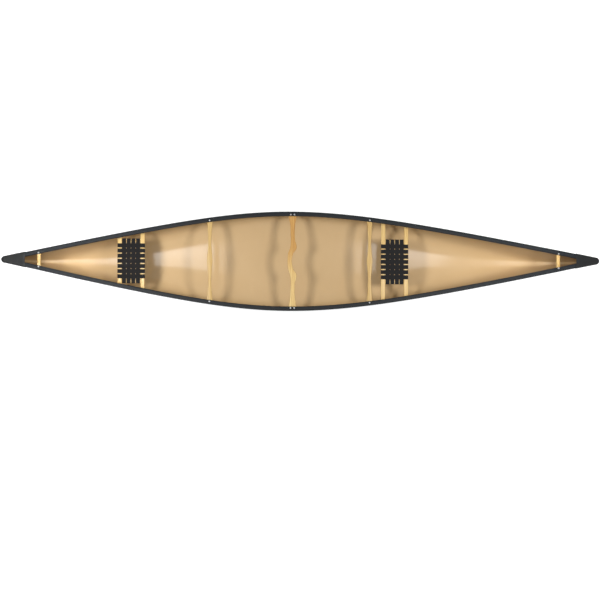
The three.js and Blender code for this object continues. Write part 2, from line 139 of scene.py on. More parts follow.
@dataclass(frozen=True)
class Finish:
    """A material and how its surface was made."""

    name: str

    def sockets(self, tree: bpy.types.NodeTree) -> dict[str | int, object]:
        """Give the shader's inputs; each finish has its own."""
        raise NotImplementedError

    def material(self) -> bpy.types.Material:
        """Build the finish.

        Returns:
            The material, ready to go on a piece.
        """
        material = bpy.data.materials.new(self.name)
        material.use_nodes = True
        tree = material.node_tree
        tree.nodes.clear()
        shader = add_node(tree, "ShaderNodeBsdfPrincipled", inputs=self.sockets(tree))
        add_node(tree, "ShaderNodeOutputMaterial", inputs={"Surface": shader.outputs["BSDF"]})
        return material


@dataclass(frozen=True)
class VacuumFormedLaminate(Finish):
    """Vinyl-skinned foam laminate, vacuum-formed over a mould.

    The skin is a coloured gloss sheet. Stretching leaves a slight orange peel in it, and broad
    clouds where it cooled at different speeds.
    """

    colour: str
    shade: str
    gloss: tuple[float, float]
    shine: float  # strength of the reflection from the skin
    peel: float  # grain of the orange peel, mm
    cloud: float = 312.5  # breadth of the clouds, mm
    scuff: float = 38.4615  # breadth of the duller patches, mm

    def sockets(self, tree: bpy.types.NodeTree) -> dict[str | int, object]:
        """Give the shader's inputs.

        Args:
            tree: Node tree to build in.

        Returns:
            Colour, roughness and relief of the skin.
        """
        place = add_node(tree, "ShaderNodeTexCoord").outputs["Object"]
        clouds = add_node(
            tree,
            "ShaderNodeTexNoise",
            inputs={"Vector": place, "Scale": pattern_scale(self.cloud), "Detail": 3.0},
        )
        colour = add_node(
            tree,
            "ShaderNodeMix",
            {"data_type": "RGBA"},
            {0: clouds.outputs["Fac"], 6: linear(self.colour), 7: linear(self.shade)},
        )
        scuffs = add_node(
            tree,
            "ShaderNodeTexNoise",
            inputs={"Vector": place, "Scale": pattern_scale(self.scuff), "Detail": 6.0},
        )
        roughness = add_node(
            tree,
            "ShaderNodeMapRange",
            inputs={0: scuffs.outputs["Fac"], 1: 0.3, 2: 0.7, 3: self.gloss[0], 4: self.gloss[1]},
        )
        peel = add_node(
            tree,
            "ShaderNodeTexNoise",
            inputs={"Vector": place, "Scale": pattern_scale(self.peel), "Detail": 2.0},
        )
        relief = add_node(
            tree,
            "ShaderNodeBump",
            inputs={"Height": peel.outputs["Fac"], "Strength": 0.15, "Distance": 0.0002},
        )
        return {
            "Base Color": colour.outputs[2],
            "Roughness": roughness.outputs[0],
            "IOR": 1.53,
            "Specular IOR Level": self.shine,
            "Normal": relief.outputs[0],
        }


@dataclass(frozen=True)
class ExtrudedVinyl(Finish):
    """Rigid vinyl pushed through a die.

    The die leaves faint lines along the length, drawn 2 mm apart so that they show, and the
    calm surface between them gives a long soft sheen.
    """

    colour: str = "15181b"
    shade: str = "101315"
    line: float = 2.0  # spacing of the lines, mm
    cloud: float = 111.111  # breadth of the darker patches, mm

    def sockets(self, tree: bpy.types.NodeTree) -> dict[str | int, object]:
        """Give the shader's inputs.

        Args:
            tree: Node tree to build in.

        Returns:
            Colour, roughness and relief of the extrusion.
        """
        place = add_node(tree, "ShaderNodeTexCoord").outputs["Object"]
        drawn = add_node(tree, "ShaderNodeMapping", inputs={"Vector": place, "Scale": (0.02, 1, 1)})
        lines = add_node(
            tree,
            "ShaderNodeTexNoise",
            inputs={"Vector": drawn.outputs[0], "Scale": pattern_scale(self.line), "Detail": 2.0},
        )
        clouds = add_node(
            tree,
            "ShaderNodeTexNoise",
            inputs={"Vector": place, "Scale": pattern_scale(self.cloud), "Detail": 3.0},
        )
        colour = add_node(
            tree,
            "ShaderNodeMix",
            {"data_type": "RGBA"},
            {0: clouds.outputs["Fac"], 6: linear(self.colour), 7: linear(self.shade)},
        )
        roughness = add_node(
            tree,
            "ShaderNodeMapRange",
            inputs={0: lines.outputs["Fac"], 1: 0.3, 2: 0.7, 3: 0.44, 4: 0.54},
        )
        relief = add_node(
            tree,
            "ShaderNodeBump",
            inputs={"Height": lines.outputs["Fac"], "Strength": 0.3, "Distance": 0.0002},
        )
        return {
            "Base Color": colour.outputs[2],
            "Roughness": roughness.outputs[0],
            "IOR": 1.53,
            "Specular IOR Level": 0.35,
            "Normal": relief.outputs[0],
        }


@dataclass(frozen=True)
class MouldedPlastic(Finish):
    """ABS injected into a spark-eroded mould.

    The mould gives an even pebble, drawn 2.5 mm across so that it shows, which breaks the
    highlight into a dull glow.
    """

    colour: str = "121313"
    shade: str = "0d0e0e"
    pebble: float = 2.5  # breadth of the pebbles, mm
    smear: float = 33.3333  # breadth of the marks of handling, mm

    def sockets(self, tree: bpy.types.NodeTree) -> dict[str | int, object]:
        """Give the shader's inputs.

        Args:
            tree: Node tree to build in.

        Returns:
            Colour, roughness and relief of the moulding.
        """
        place = add_node(tree, "ShaderNodeTexCoord").outputs["Object"]
        pebble = add_node(
            tree,
            "ShaderNodeTexVoronoi",
            {"feature": "SMOOTH_F1"},
            {"Vector": place, "Scale": pattern_scale(self.pebble), "Smoothness": 0.6},
        )
        handling = add_node(
            tree,
            "ShaderNodeTexNoise",
            inputs={"Vector": place, "Scale": pattern_scale(self.smear), "Detail": 5.0},
        )
        colour = add_node(
            tree,
            "ShaderNodeMix",
            {"data_type": "RGBA"},
            {0: handling.outputs["Fac"], 6: linear(self.colour), 7: linear(self.shade)},
        )
        roughness = add_node(
            tree,
            "ShaderNodeMapRange",
            inputs={0: handling.outputs["Fac"], 1: 0.3, 2: 0.7, 3: 0.45, 4: 0.58},
        )
        relief = add_node(
            tree,
            "ShaderNodeBump",
            inputs={"Height": pebble.outputs["Distance"], "Strength": 0.4, "Distance": 0.0003},
        )
        return {
            "Base Color": colour.outputs[2],
            "Roughness": roughness.outputs[0],
            "IOR": 1.54,
            "Normal": relief.outputs[0],
        }


@dataclass(frozen=True)
class VarnishedAsh(Finish):
    """Straight-grained ash, planed and varnished.

    Late wood shows as darker lines, drawn about 9 mm apart, a few times their real spacing, so
    that they show. Long pores show as fine dashes, and the varnish as a clear coat over both. The port
    end can be painted darker, as painted shade.
    """

    grain: Grain
    board: float  # offset into the timber, m, so that no two boards match
    pale: str = "c9b27c"
    warm: str = "a88147"
    # painted shade: the port end of the board is painted darker by this much, standing in for shade
    painted_port_shade: float = 0.0  # how much darker the port end of the board is
    late_wood: float = 9.23998  # spacing of the darker lines, mm
    pore: float = 1.11111  # breadth of the pores, mm
    tone: float = 142.857  # breadth of the paler and darker parts, mm
    stretch: float = 0.05  # breadth of a mark as a share of its length

    def sockets(self, tree: bpy.types.NodeTree) -> dict[str | int, object]:
        """Give the shader's inputs.

        Args:
            tree: Node tree to build in.

        Returns:
            Colour, roughness, relief and varnish of the board.
        """
        place = add_node(tree, "ShaderNodeTexCoord").outputs["Object"]
        lengthwise = self.grain is Grain.FORE_AND_AFT
        ring_scale = (self.stretch, 1, 1) if lengthwise else (1, self.stretch, 1)
        timber = add_node(
            tree,
            "ShaderNodeMapping",
            inputs={"Vector": place, "Location": (self.board,) * 3, "Scale": ring_scale},
        )
        rings = add_node(
            tree,
            "ShaderNodeTexWave",
            {"bands_direction": "Y" if lengthwise else "X"},
            {
                "Vector": timber.outputs[0],
                "Scale": pattern_scale(self.late_wood) * math.pi / 10,  # a wave is pi / 10 long
                "Distortion": 9.0,
                "Detail": 3.0,
                "Detail Scale": 0.9,
            },
        )
        figure = add_node(
            tree,
            "ShaderNodeValToRGB",
            inputs={0: rings.outputs["Fac"]},
            stops=((0.0, self.pale), (0.9, self.warm), (0.55, self.pale)),
        )
        pores = add_node(
            tree,
            "ShaderNodeTexNoise",
            inputs={"Vector": timber.outputs[0], "Scale": pattern_scale(self.pore), "Detail": 2.0},
        )
        tone = add_node(
            tree,
            "ShaderNodeTexNoise",
            inputs={"Vector": timber.outputs[0], "Scale": pattern_scale(self.tone), "Detail": 1.0},
        )
        shaded = add_node(
            tree,
            "ShaderNodeMix",
            {"data_type": "RGBA", "blend_type": "MULTIPLY"},
            {0: tone.outputs["Fac"], 6: figure.outputs[0], 7: linear("eadbb8")},
        )
        # Painted shade: towards the port end the colour is multiplied darker by dcb878, standing in
        # for the shade over the board's port half.
        reach = add_node(tree, "ShaderNodeSeparateXYZ", inputs={0: place})
        port_shade_amount = add_node(
            tree,
            "ShaderNodeMapRange",
            inputs={0: reach.outputs[1], 1: -0.12, 2: 0.12, 3: 0.0, 4: self.painted_port_shade},
        )
        port_shaded_colour = add_node(
            tree,
            "ShaderNodeMix",
            {"data_type": "RGBA", "blend_type": "MULTIPLY"},
            {0: port_shade_amount.outputs[0], 6: shaded.outputs[2], 7: linear("dcb878")},
        )
        roughness = add_node(
            tree,
            "ShaderNodeMapRange",
            inputs={0: pores.outputs["Fac"], 1: 0.3, 2: 0.7, 3: 0.42, 4: 0.56},
        )
        relief = add_node(
            tree,
            "ShaderNodeBump",
            inputs={"Height": pores.outputs["Fac"], "Strength": 0.3, "Distance": 0.0002},
        )
        return {
            "Base Color": port_shaded_colour.outputs[2],
            "Roughness": roughness.outputs[0],
            "IOR": 1.5,
            "Coat Weight": 0.5,
            "Coat Roughness": 0.22,
            "Normal": relief.outputs[0],
        }


@dataclass(frozen=True)
class WovenPolyester(Finish):
    """Polyester webbing in a herringbone weave.

    Cords of yarn lean to the middle of the strap from both edges. They are drawn 2.4 mm apart,
    about twice their real spacing, so that they show, with dull fibres and a little fuzz. The grooves
    between them are painted darker, as painted shade.
    """

    colour: str = "151414"
    # painted shade: colour of the grooves between the cords
    shade: str = "080707"
    cord: float = 2.4  # spacing of the cords, mm
    chevron: float = 8.5  # breadth of one lean of the cords, mm

    def sockets(self, tree: bpy.types.NodeTree) -> dict[str | int, object]:
        """Give the shader's inputs.

        Args:
            tree: Node tree to build in.

        Returns:
            Colour, relief and fuzz of the strap.
        """
        strap = add_node(tree, "ShaderNodeUVMap", {"uv_map": STRAP_MAP}).outputs[0]
        parts = add_node(tree, "ShaderNodeSeparateXYZ", inputs={0: strap})
        chevron = add_node(
            tree,
            "ShaderNodeMath",
            {"operation": "PINGPONG"},
            {0: parts.outputs[0], 1: self.chevron * MM},
        )
        slant = add_node(tree, "ShaderNodeMath", inputs={0: chevron.outputs[0], 1: parts.outputs[1]})
        phase = add_node(
            tree,
            "ShaderNodeMath",
            {"operation": "MULTIPLY"},
            {0: slant.outputs[0], 1: 2 * math.pi * pattern_scale(self.cord)},
        )
        cords = add_node(tree, "ShaderNodeMath", {"operation": "SINE"}, {0: phase.outputs[0]})
        height = add_node(tree, "ShaderNodeMapRange", inputs={0: cords.outputs[0], 1: -1.0, 2: 1.0})
        # Painted shade: the grooves between the cords take the darker colour, standing in for the
        # shade that falls in them.
        colour = add_node(
            tree,
            "ShaderNodeMix",
            {"data_type": "RGBA"},
            {0: height.outputs[0], 6: linear(self.shade), 7: linear(self.colour)},
        )
        relief = add_node(
            tree,
            "ShaderNodeBump",
            inputs={"Height": height.outputs[0], "Strength": 0.7, "Distance": 0.0004},
        )
        return {
            "Base Color": colour.outputs[2],
            "Roughness": 0.78,
            "IOR": 1.5,
            "Sheen Weight": 0.1,
            "Sheen Roughness": 0.5,
            "Normal": relief.outputs[0],
        }


@dataclass(frozen=True)
class WorkedMetal(Finish):
    """Bare metal with the lines of its making: rolled and cut aluminium, or turned steel.

    The lines, drawn 1.1 mm apart so that they show, spread the highlight across them and leave
    it bright along them.
    """

    colour: str
    shade: str
    gloss: tuple[float, float]
    stretch: tuple[float, float, float]  # how tightly the lines lie along each axis
    line: float = 1.11111  # spacing of the lines, mm

    def sockets(self, tree: bpy.types.NodeTree) -> dict[str | int, object]:
        """Give the shader's inputs.

        Args:
            tree: Node tree to build in.

        Returns:
            Colour, roughness and relief of the metal.
        """
        place = add_node(tree, "ShaderNodeTexCoord").outputs["Object"]
        drawn = add_node(tree, "ShaderNodeMapping", inputs={"Vector": place, "Scale": self.stretch})
        lines = add_node(
            tree,
            "ShaderNodeTexNoise",
            inputs={"Vector": drawn.outputs[0], "Scale": pattern_scale(self.line), "Detail": 3.0},
        )
        colour = add_node(
            tree,
            "ShaderNodeMix",
            {"data_type": "RGBA"},
            {0: lines.outputs["Fac"], 6: linear(self.colour), 7: linear(self.shade)},
        )
        roughness = add_node(
            tree,
            "ShaderNodeMapRange",
            inputs={0: lines.outputs["Fac"], 1: 0.3, 2: 0.7, 3: self.gloss[0], 4: self.gloss[1]},
        )
        relief = add_node(
            tree,
            "ShaderNodeBump",
            inputs={"Height": lines.outputs["Fac"], "Strength": 0.15, "Distance": 0.0001},
        )
        return {
            "Base Color": colour.outputs[2],
            "Metallic": 1.0,
            "Roughness": roughness.outputs[0],
            "Normal": relief.outputs[0],
        }


@dataclass(frozen=True)
class CutVinylFilm(Finish):
    """Self-adhesive vinyl film, cut and rubbed down, smooth with faint rub marks."""

    colour: str
    shade: str
    rub: float = 8.33333  # breadth of the rub marks, mm

    def sockets(self, tree: bpy.types.NodeTree) -> dict[str | int, object]:
        """Give the shader's inputs.

        Args:
            tree: Node tree to build in.

        Returns:
            Colour and roughness of the film.
        """
        place = add_node(tree, "ShaderNodeTexCoord").outputs["Object"]
        rubs = add_node(
            tree,
            "ShaderNodeTexNoise",
            inputs={"Vector": place, "Scale": pattern_scale(self.rub), "Detail": 4.0},
        )
        colour = add_node(
            tree,
            "ShaderNodeMix",
            {"data_type": "RGBA"},
            {0: rubs.outputs["Fac"], 6: linear(self.colour), 7: linear(self.shade)},
        )
        roughness = add_node(
            tree,
            "ShaderNodeMapRange",
            inputs={0: rubs.outputs["Fac"], 1: 0.3, 2: 0.7, 3: 0.3, 4: 0.4},
        )
        return {"Base Color": colour.outputs[2], "Roughness": roughness.outputs[0], "IOR": 1.46}


# ------------------------------------------------------------------ making meshes

STRAP_MAP = "strap"
WELD = 1e-6  # m
NEAR = 0.05  # mm
SHARP = math.radians(38)

Ring = Sequence[Vector]


def add_sheet(
    mesh: bmesh.types.BMesh, rings: Sequence[Ring], closed: bool, mapped: bool = False
) -> list[bmesh.types.BMFace]:
    """Lay a grid over rings of points, so that its rows follow them.

    Args:
        mesh: Mesh that gets the grid.
        rings: Rows of points in millimetres, all of one count.
        closed: Whether each row runs back to its own start.
        mapped: Whether the grid gets a UV map of the real lengths along and across it, in metres.

    Returns:
        The new faces.
    """
    count = len(rings[0])
    columns = count if closed else count - 1
    rows = len(rings) - 1
    made = bmesh.ops.create_grid(mesh, x_segments=columns, y_segments=rows, size=1.0)["verts"]
    spots = {}
    for vertex in made:
        column = round((vertex.co.x + 1) / 2 * columns)
        row = round((vertex.co.y + 1) / 2 * rows)
        spots[vertex] = (column, row)
        vertex.co = Vector(rings[row][column % count]) * MM
    faces = list({face for vertex in made for face in vertex.link_faces})
    if mapped:
        measure_sheet(mesh, rings, faces, spots)
    if closed:
        bmesh.ops.remove_doubles(mesh, verts=made, dist=WELD)
    return [face for face in faces if face.is_valid]


def measure_sheet(
    mesh: bmesh.types.BMesh,
    rings: Sequence[Ring],
    faces: Sequence[bmesh.types.BMFace],
    spots: dict[bmesh.types.BMVert, tuple[int, int]],
) -> None:
    """Give a sheet a UV map of real lengths: round its first ring, and along its middle.

    Args:
        mesh: Mesh that holds the sheet.
        rings: The sheet's rows, in millimetres.
        faces: The sheet's faces.
        spots: Column and row of each vertex.
    """
    layer = mesh.loops.layers.uv.new(STRAP_MAP)
    count = len(rings[0])
    across = [0.0]
    for i in range(count):
        across.append(across[-1] + (rings[0][(i + 1) % count] - rings[0][i]).length * MM)
    along = [0.0]
    for near, far in zip(rings, rings[1:]):
        along.append(along[-1] + (far[0] - near[0]).length * MM)
    for face in faces:
        for loop in face.loops:
            column, row = spots[loop.vert]
            loop[layer].uv = (across[column], along[row])


def close_ends(mesh: bmesh.types.BMesh) -> None:
    """Fill a tube's open ends and turn every face outwards.

    Args:
        mesh: Mesh of the tube alone.
    """
    rim = [edge for edge in mesh.edges if edge.is_boundary]
    bmesh.ops.holes_fill(mesh, edges=rim, sides=0)
    bmesh.ops.recalc_face_normals(mesh, faces=mesh.faces)


def round_edges(
    mesh: bmesh.types.BMesh, edges: Sequence[bmesh.types.BMEdge], radius: float, segments: int
) -> None:
    """Round some edges.

    Args:
        mesh: Mesh that holds the edges.
        edges: Edges to round.
        radius: Width of the round, in metres.
        segments: Steps across the round.
    """
    bmesh.ops.bevel(
        mesh,
        geom=list(edges),
        offset=radius,
        offset_type="OFFSET",
        segments=segments,
        profile=0.5,
        affect="EDGES",
        clamp_overlap=True,
        material=-1,
    )


def turned(profile: Sequence[tuple[float, float]], steps: int) -> bmesh.types.BMesh:
    """Turn a profile round the Z axis, as on a lathe.

    Args:
        profile: Radius and height of each point, in millimetres, from one pole to the other.
        steps: Sides of the turned piece.

    Returns:
        The closed mesh.
    """
    mesh = bmesh.new()
    chain = [mesh.verts.new((radius * MM, 0, height * MM)) for radius, height in profile]
    links = [mesh.edges.new(pair) for pair in zip(chain, chain[1:])]
    bmesh.ops.spin(
        mesh,
        geom=chain + links,
        cent=(0, 0, 0),
        axis=(0, 0, 1),
        angle=2 * math.pi,
        steps=steps,
        use_merge=True,
    )
    bmesh.ops.remove_doubles(mesh, verts=mesh.verts, dist=WELD)
    bmesh.ops.recalc_face_normals(mesh, faces=mesh.faces)
    return mesh


def block(low: Vector, high: Vector, radius: float, segments: int = 3) -> bmesh.types.BMesh:
    """Make a bar or plate with rounded edges that fills a box.

    Args:
        low: Lowest corner, in metres.
        high: Highest corner, in metres.
        radius: Round of the edges, in metres.
        segments: Steps across the round.

    Returns:
        The closed mesh.
    """
    mesh = bmesh.new()
    bmesh.ops.create_cube(mesh, size=1.0)
    bmesh.ops.scale(mesh, vec=high - low, verts=mesh.verts)
    bmesh.ops.translate(mesh, vec=(low + high) / 2, verts=mesh.verts)
    round_edges(mesh, mesh.edges[:], radius, segments)
    return mesh


def joined(parts: Sequence[bmesh.types.BMesh]) -> bmesh.types.BMesh:
    """Gather meshes into one and free them.

    Args:
        parts: Meshes to gather.

    Returns:
        One mesh with every part in it.
    """
    whole = bmesh.new()
    for part in parts:
        carrier = bpy.data.meshes.new("carrier")
        part.to_mesh(carrier)
        part.free()
        whole.from_mesh(carrier)
        bpy.data.meshes.remove(carrier)
    return whole


def make_piece(
    name: str,
    mesh: bmesh.types.BMesh,
    materials: Sequence[bpy.types.Material],
    nodes: Sequence[str] = (),
) -> bpy.types.Object:
    """Turn a mesh into a piece that rides on the canoe.

    Args:
        name: The piece's name.
        mesh: Its mesh, which is freed.
        materials: Its materials, in slot order.
        nodes: CAD nodes that it stands for.

    Returns:
        The new object.
    """
    for face in mesh.faces:
        face.smooth = True
    for edge in mesh.edges:
        edge.smooth = edge.calc_face_angle(0.0) < SHARP
    data = bpy.data.meshes.new(name)
    mesh.to_mesh(data)
    mesh.free()
    for material in materials:
        data.materials.append(material)
    piece = bpy.data.objects.new(name, data)
    bpy.context.scene.collection.objects.link(piece)
    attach(piece, "root")
    if nodes:
        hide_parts(*nodes)
    LOG.info("%s: %d faces", name, len(data.polygons))
    return piece


def thicken(piece: bpy.types.Object, thickness: float, offset: float, bevel: float) -> None:
    """Give an open skin its wall, and its edges a small bevel.

    Args:
        piece: The piece, whose mesh is one skin.
        thickness: Thickness of the wall, in millimetres.
        offset: -1 for a wall behind the skin, 0 for one on both sides of it.
        bevel: Width of the bevel, in millimetres.
    """
    wall = piece.modifiers.new("wall", "SOLIDIFY")
    wall.thickness = thickness * MM
    wall.offset = offset
    edge = piece.modifiers.new("edge", "BEVEL")
    edge.width = bevel * MM
    edge.segments = 2
    edge.limit_method = "ANGLE"
    edge.angle_limit = math.radians(60)


def dress_node(name: str, material: bpy.types.Material) -> None:
    """Give a CAD node its finish.

    Args:
        name: The node's name.
        material: The finish.
    """
    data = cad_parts[name].data
    data.materials.clear()
    data.materials.append(material)
    LOG.info("%s: kept, with %s", name, material.name)


# ------------------------------------------------------------------ hull lines


@dataclass(frozen=True)
class SheerEnd:
    """Rise of the gunwale towards one end, in millimetres from the sheer's low point."""

    curve: float
    ease_run: float
    cap_run: float
    cap_rise: float
    deck_slope: float


@dataclass(frozen=True)
class PlanEnd:
    """Hyperbola of the gunwale's outer edge for one half of the plan."""

    bend: float
    slope: float


@dataclass(frozen=True)
class StemEnd:
    """Control points of one stem's cubic curve, as (x, z) in millimetres."""

    start: tuple[float, float]
    foot: tuple[float, float]
    breast: tuple[float, float]
    head: tuple[float, float]

    def point(self, share: float) -> Vector:
        """Find a point of the curve.

        Args:
            share: 0 at the keel, 1 at the stem head.

        Returns:
            The point as (x, z).
        """
        rest = 1 - share
        weights = (rest**3, 3 * rest**2 * share, 3 * rest * share**2, share**3)
        controls = (self.start, self.foot, self.breast, self.head)
        return sum((Vector(p) * w for p, w in zip(controls, weights)), Vector((0.0, 0.0)))

    def inward(self, share: float) -> Vector:
        """Find the direction into the canoe, square to the curve.

        Args:
            share: 0 at the keel, 1 at the stem head.

        Returns:
            A unit vector as (x, z).
        """
        step = 1e-4
        along = (self.point(min(1, share + step)) - self.point(max(0, share - step))).normalized()
        sign = math.copysign(1, self.head[0])
        return Vector((-along.y * sign, along.x * sign))


@dataclass(frozen=True)
class Station:
    """One rib line of the hull: its keel point, its way inward and its edge, in side view."""

    keel: Vector
    inward: Vector
    edge_x: float
    stem: float


@dataclass(frozen=True)
class HullLines:
    """The canoe's lines: sheer, plan, keel and sections, in millimetres."""

    length: float = 5182
    sheer_low: float = 352.8
    sheer_low_x: float = -100
    sheer_bow: SheerEnd = SheerEnd(3.863e-5, 2250, 2490, 232.7, 0.0)
    sheer_stern: SheerEnd = SheerEnd(3.33e-5, 2100, 2295, 173.0, 0.113)
    half_beam: float = 443.3
    wide_x: float = -85
    plan_bow: PlanEnd = PlanEnd(241.7, 0.2318)
    plan_stern: PlanEnd = PlanEnd(256.5, 0.2515)
    level_run: float = 200
    rocker_power: float = 2.2
    stem_bow: StemEnd = StemEnd((2050, 26), (2467, 39), (2488, 122), (2576, 577))
    stem_stern: StemEnd = StemEnd((-1950, 31), (-2569, 50), (-2448, 112), (-2583, 538))
    wall: float = 5.3
    keel_strip: float = 30
    stem_strip: float = 4
    tumblehome: float = 9
    stem_thickness: float = 26
    fairing: float = 1.6
    rim_drop: float = 4.35  # rim of the hull below the gunwale's top
    rim_inset: float = 9.35  # rim of the hull in from the gunwale's outer edge
    shoulder_drop: float = 31  # where the sides turn plumb
    side_powers: tuple[float, float] = (1.3, 3.7)  # at the stems, and its gain amidships
    bottom_powers: tuple[float, float] = (1.25, 1.25)
    edge_sweep: float = 65  # how far the edge stands back from the stem at half height
    edge_lean: float = 5  # and at the stem head
    turn_share: float = 0.62  # share of a quarter turn drawn by even angles
    turn_steps: int = 13
    side_steps: int = 15

    def sheer_height(self, x: float) -> float:
        """Find the height of the gunwale's top.

        Args:
            x: Place along the canoe.

        Returns:
            The height.
        """
        end = self.sheer_bow if x > self.sheer_low_x else self.sheer_stern
        run = abs(x - self.sheer_low_x)
        if run <= end.ease_run:
            return self.sheer_low + end.curve * run**2
        ease_rise = end.curve * end.ease_run**2
        ease_slope = 2 * end.curve * end.ease_run
        span = end.cap_run - end.ease_run
        bend = (end.cap_rise - ease_rise - ease_slope * span) / span**2
        eased = min(run, end.cap_run) - end.ease_run
        deck = max(0.0, run - end.cap_run) * end.deck_slope
        return self.sheer_low + ease_rise + ease_slope * eased + bend * eased**2 + deck

    def sheer_slope(self, x: float) -> float:
        """Find how steeply the gunwale rises towards the bow."""
        return (self.sheer_height(x + 5) - self.sheer_height(x - 5)) / 10

    def breadth(self, x: float) -> float:
        """Find half the breadth over the gunwales.

        Args:
            x: Place along the canoe.

        Returns:
            The distance from the centreline to the gunwale's outer edge.
        """
        end = self.plan_bow if x > self.wide_x else self.plan_stern
        return self.half_beam + end.bend - math.hypot(end.bend, end.slope * (x - self.wide_x))

    def keel_height(self, x: float) -> float:
        """Find the height of the keel line between the stems.

        Args:
            x: Place along the canoe.

        Returns:
            The height.
        """
        start_x, start_z = (self.stem_bow if x > 0 else self.stem_stern).start
        run = max(0.0, abs(x) - self.level_run)
        return start_z * (run / (abs(start_x) - self.level_run)) ** self.rocker_power

    def stations(self, step: float, stem_steps: int, reach: float) -> list[Station]:
        """Set out the rib lines from stern to bow.

        Args:
            step: Distance between stations amidships.
            stem_steps: Stations round each stem.
            reach: Share of each stem that the stations run up.

        Returns:
            The stations.
        """
        first, last = self.stem_stern.start[0], self.stem_bow.start[0]
        count = round((last - first) / step)
        upright = []
        for i in range(count + 1):
            x = first + (last - first) * i / count
            upright.append(Station(Vector((x, self.keel_height(x))), Vector((0, 1)), x, 0.0))
        ends = {}
        for stem in (self.stem_stern, self.stem_bow):
            sign = math.copysign(1, stem.head[0])
            ends[sign] = []
            for i in range(1, stem_steps + 1):
                share = reach * i / stem_steps
                keel = stem.point(share)
                back = self.edge_sweep * math.sin(math.pi * share) + self.edge_lean * share
                ends[sign].append(Station(keel, stem.inward(share), keel.x - sign * back, share))
        return [*reversed(ends[-1]), *upright, *ends[1]]

    def section(self, station: Station, inset: float) -> list[Vector]:
        """Draw one section, from the starboard rim under the keel to the port rim.

        Args:
            station: Where the section stands.
            inset: Thickness taken off, for the inside.

        Returns:
            Points in millimetres.
        """
        reach = abs(station.keel.x + station.edge_x) / 2 / self.stem_bow.head[0]
        full = max(0.0, 1 - reach**self.fairing)
        side_power = self.side_powers[0] + self.side_powers[1] * full
        bottom_power = self.bottom_powers[0] + self.bottom_powers[1] * full
        tumble = self.tumblehome * full
        strip = self.stem_strip + (self.keel_strip - self.stem_strip) * math.sqrt(full)
        thick = inset * (1 + (self.stem_thickness / self.wall - 1) * math.sqrt(station.stem))
        low = station.keel + station.inward * thick
        high_x = station.edge_x - math.copysign(thick - inset, station.edge_x)
        shoulder = self.sheer_height(high_x) - self.shoulder_drop
        high = Vector((high_x, max(shoulder, low.y + 1)))
        if inset:
            strip = max(1.0, strip - 2 * inset * station.stem)
        rim_half = self.breadth(high_x) - self.rim_inset - inset
        strip = min(strip, rim_half * 0.3)

        turn = self.turn_share * math.pi / 2
        shares = []
        for i in range(self.turn_steps + 1):
            angle = turn * i / self.turn_steps
            rise = 1 - math.cos(angle) ** (2 / side_power)
            shares.append((rise, math.sin(angle) ** (2 / bottom_power)))
        turned_rise = shares[-1][0]
        for i in range(1, self.side_steps + 1):
            rise = turned_rise + (1 - turned_rise) * i / self.side_steps
            cosine = (1 - rise) ** (side_power / 2)
            shares.append((rise, (1 - cosine**2) ** (1 / bottom_power)))
        port = [Vector((low.x, 0, low.y))]
        for rise, spread in shares:
            x, z = low.lerp(high, rise)
            y = strip + (rim_half + tumble - strip) * spread - tumble * rise**4
            port.append(Vector((x, y, z)))
        port.append(Vector((high_x, port[-1].y, self.sheer_height(high_x) - self.rim_drop)))
        starboard = [Vector((p.x, -p.y, p.z)) for p in reversed(port[1:])]
        return starboard + port


# ------------------------------------------------------------------ sub-assemblies


@dataclass(frozen=True)
class Hull:
    """The laminate hull: an outer and an inner skin, thickened up each stem."""

    lines: HullLines
    station_step: float = 40
    stem_steps: int = 26
    inner_reach: float = 0.9

    def mesh(self) -> bmesh.types.BMesh:
        """Build both skins and join them along the rim.

        Returns:
            The closed hull, with the outer skin on the first material.
        """
        mesh = bmesh.new()
        skins = []
        for inset, reach in ((0.0, 1.0), (self.lines.wall, self.inner_reach)):
            stations = self.lines.stations(self.station_step, self.stem_steps, reach)
            rings = [self.lines.section(station, inset) for station in stations]
            skins.append(add_sheet(mesh, rings, closed=False))
        for face in skins[1]:
            face.material_index = 1
        rim = [edge for edge in mesh.edges if edge.is_boundary]
        for face in bmesh.ops.bridge_loops(mesh, edges=rim)["faces"]:
            face.material_index = 1
        bmesh.ops.recalc_face_normals(mesh, faces=mesh.faces)
        return mesh

    def build(self) -> None:
        """Build and dress the hull."""
        outside = VacuumFormedLaminate(
            "vacuum_formed_laminate_green", "005146", "00473c", gloss=(0.2, 0.27), shine=0.1, peel=6
        )
        inside = VacuumFormedLaminate(
            "vacuum_formed_laminate_tan", "b29872", "aa8f68", gloss=(0.13, 0.17), shine=0.42, peel=5
        )
        materials = [outside.material(), inside.material()]
        make_piece("hull_laminate", self.mesh(), materials, ["hull_shell"])


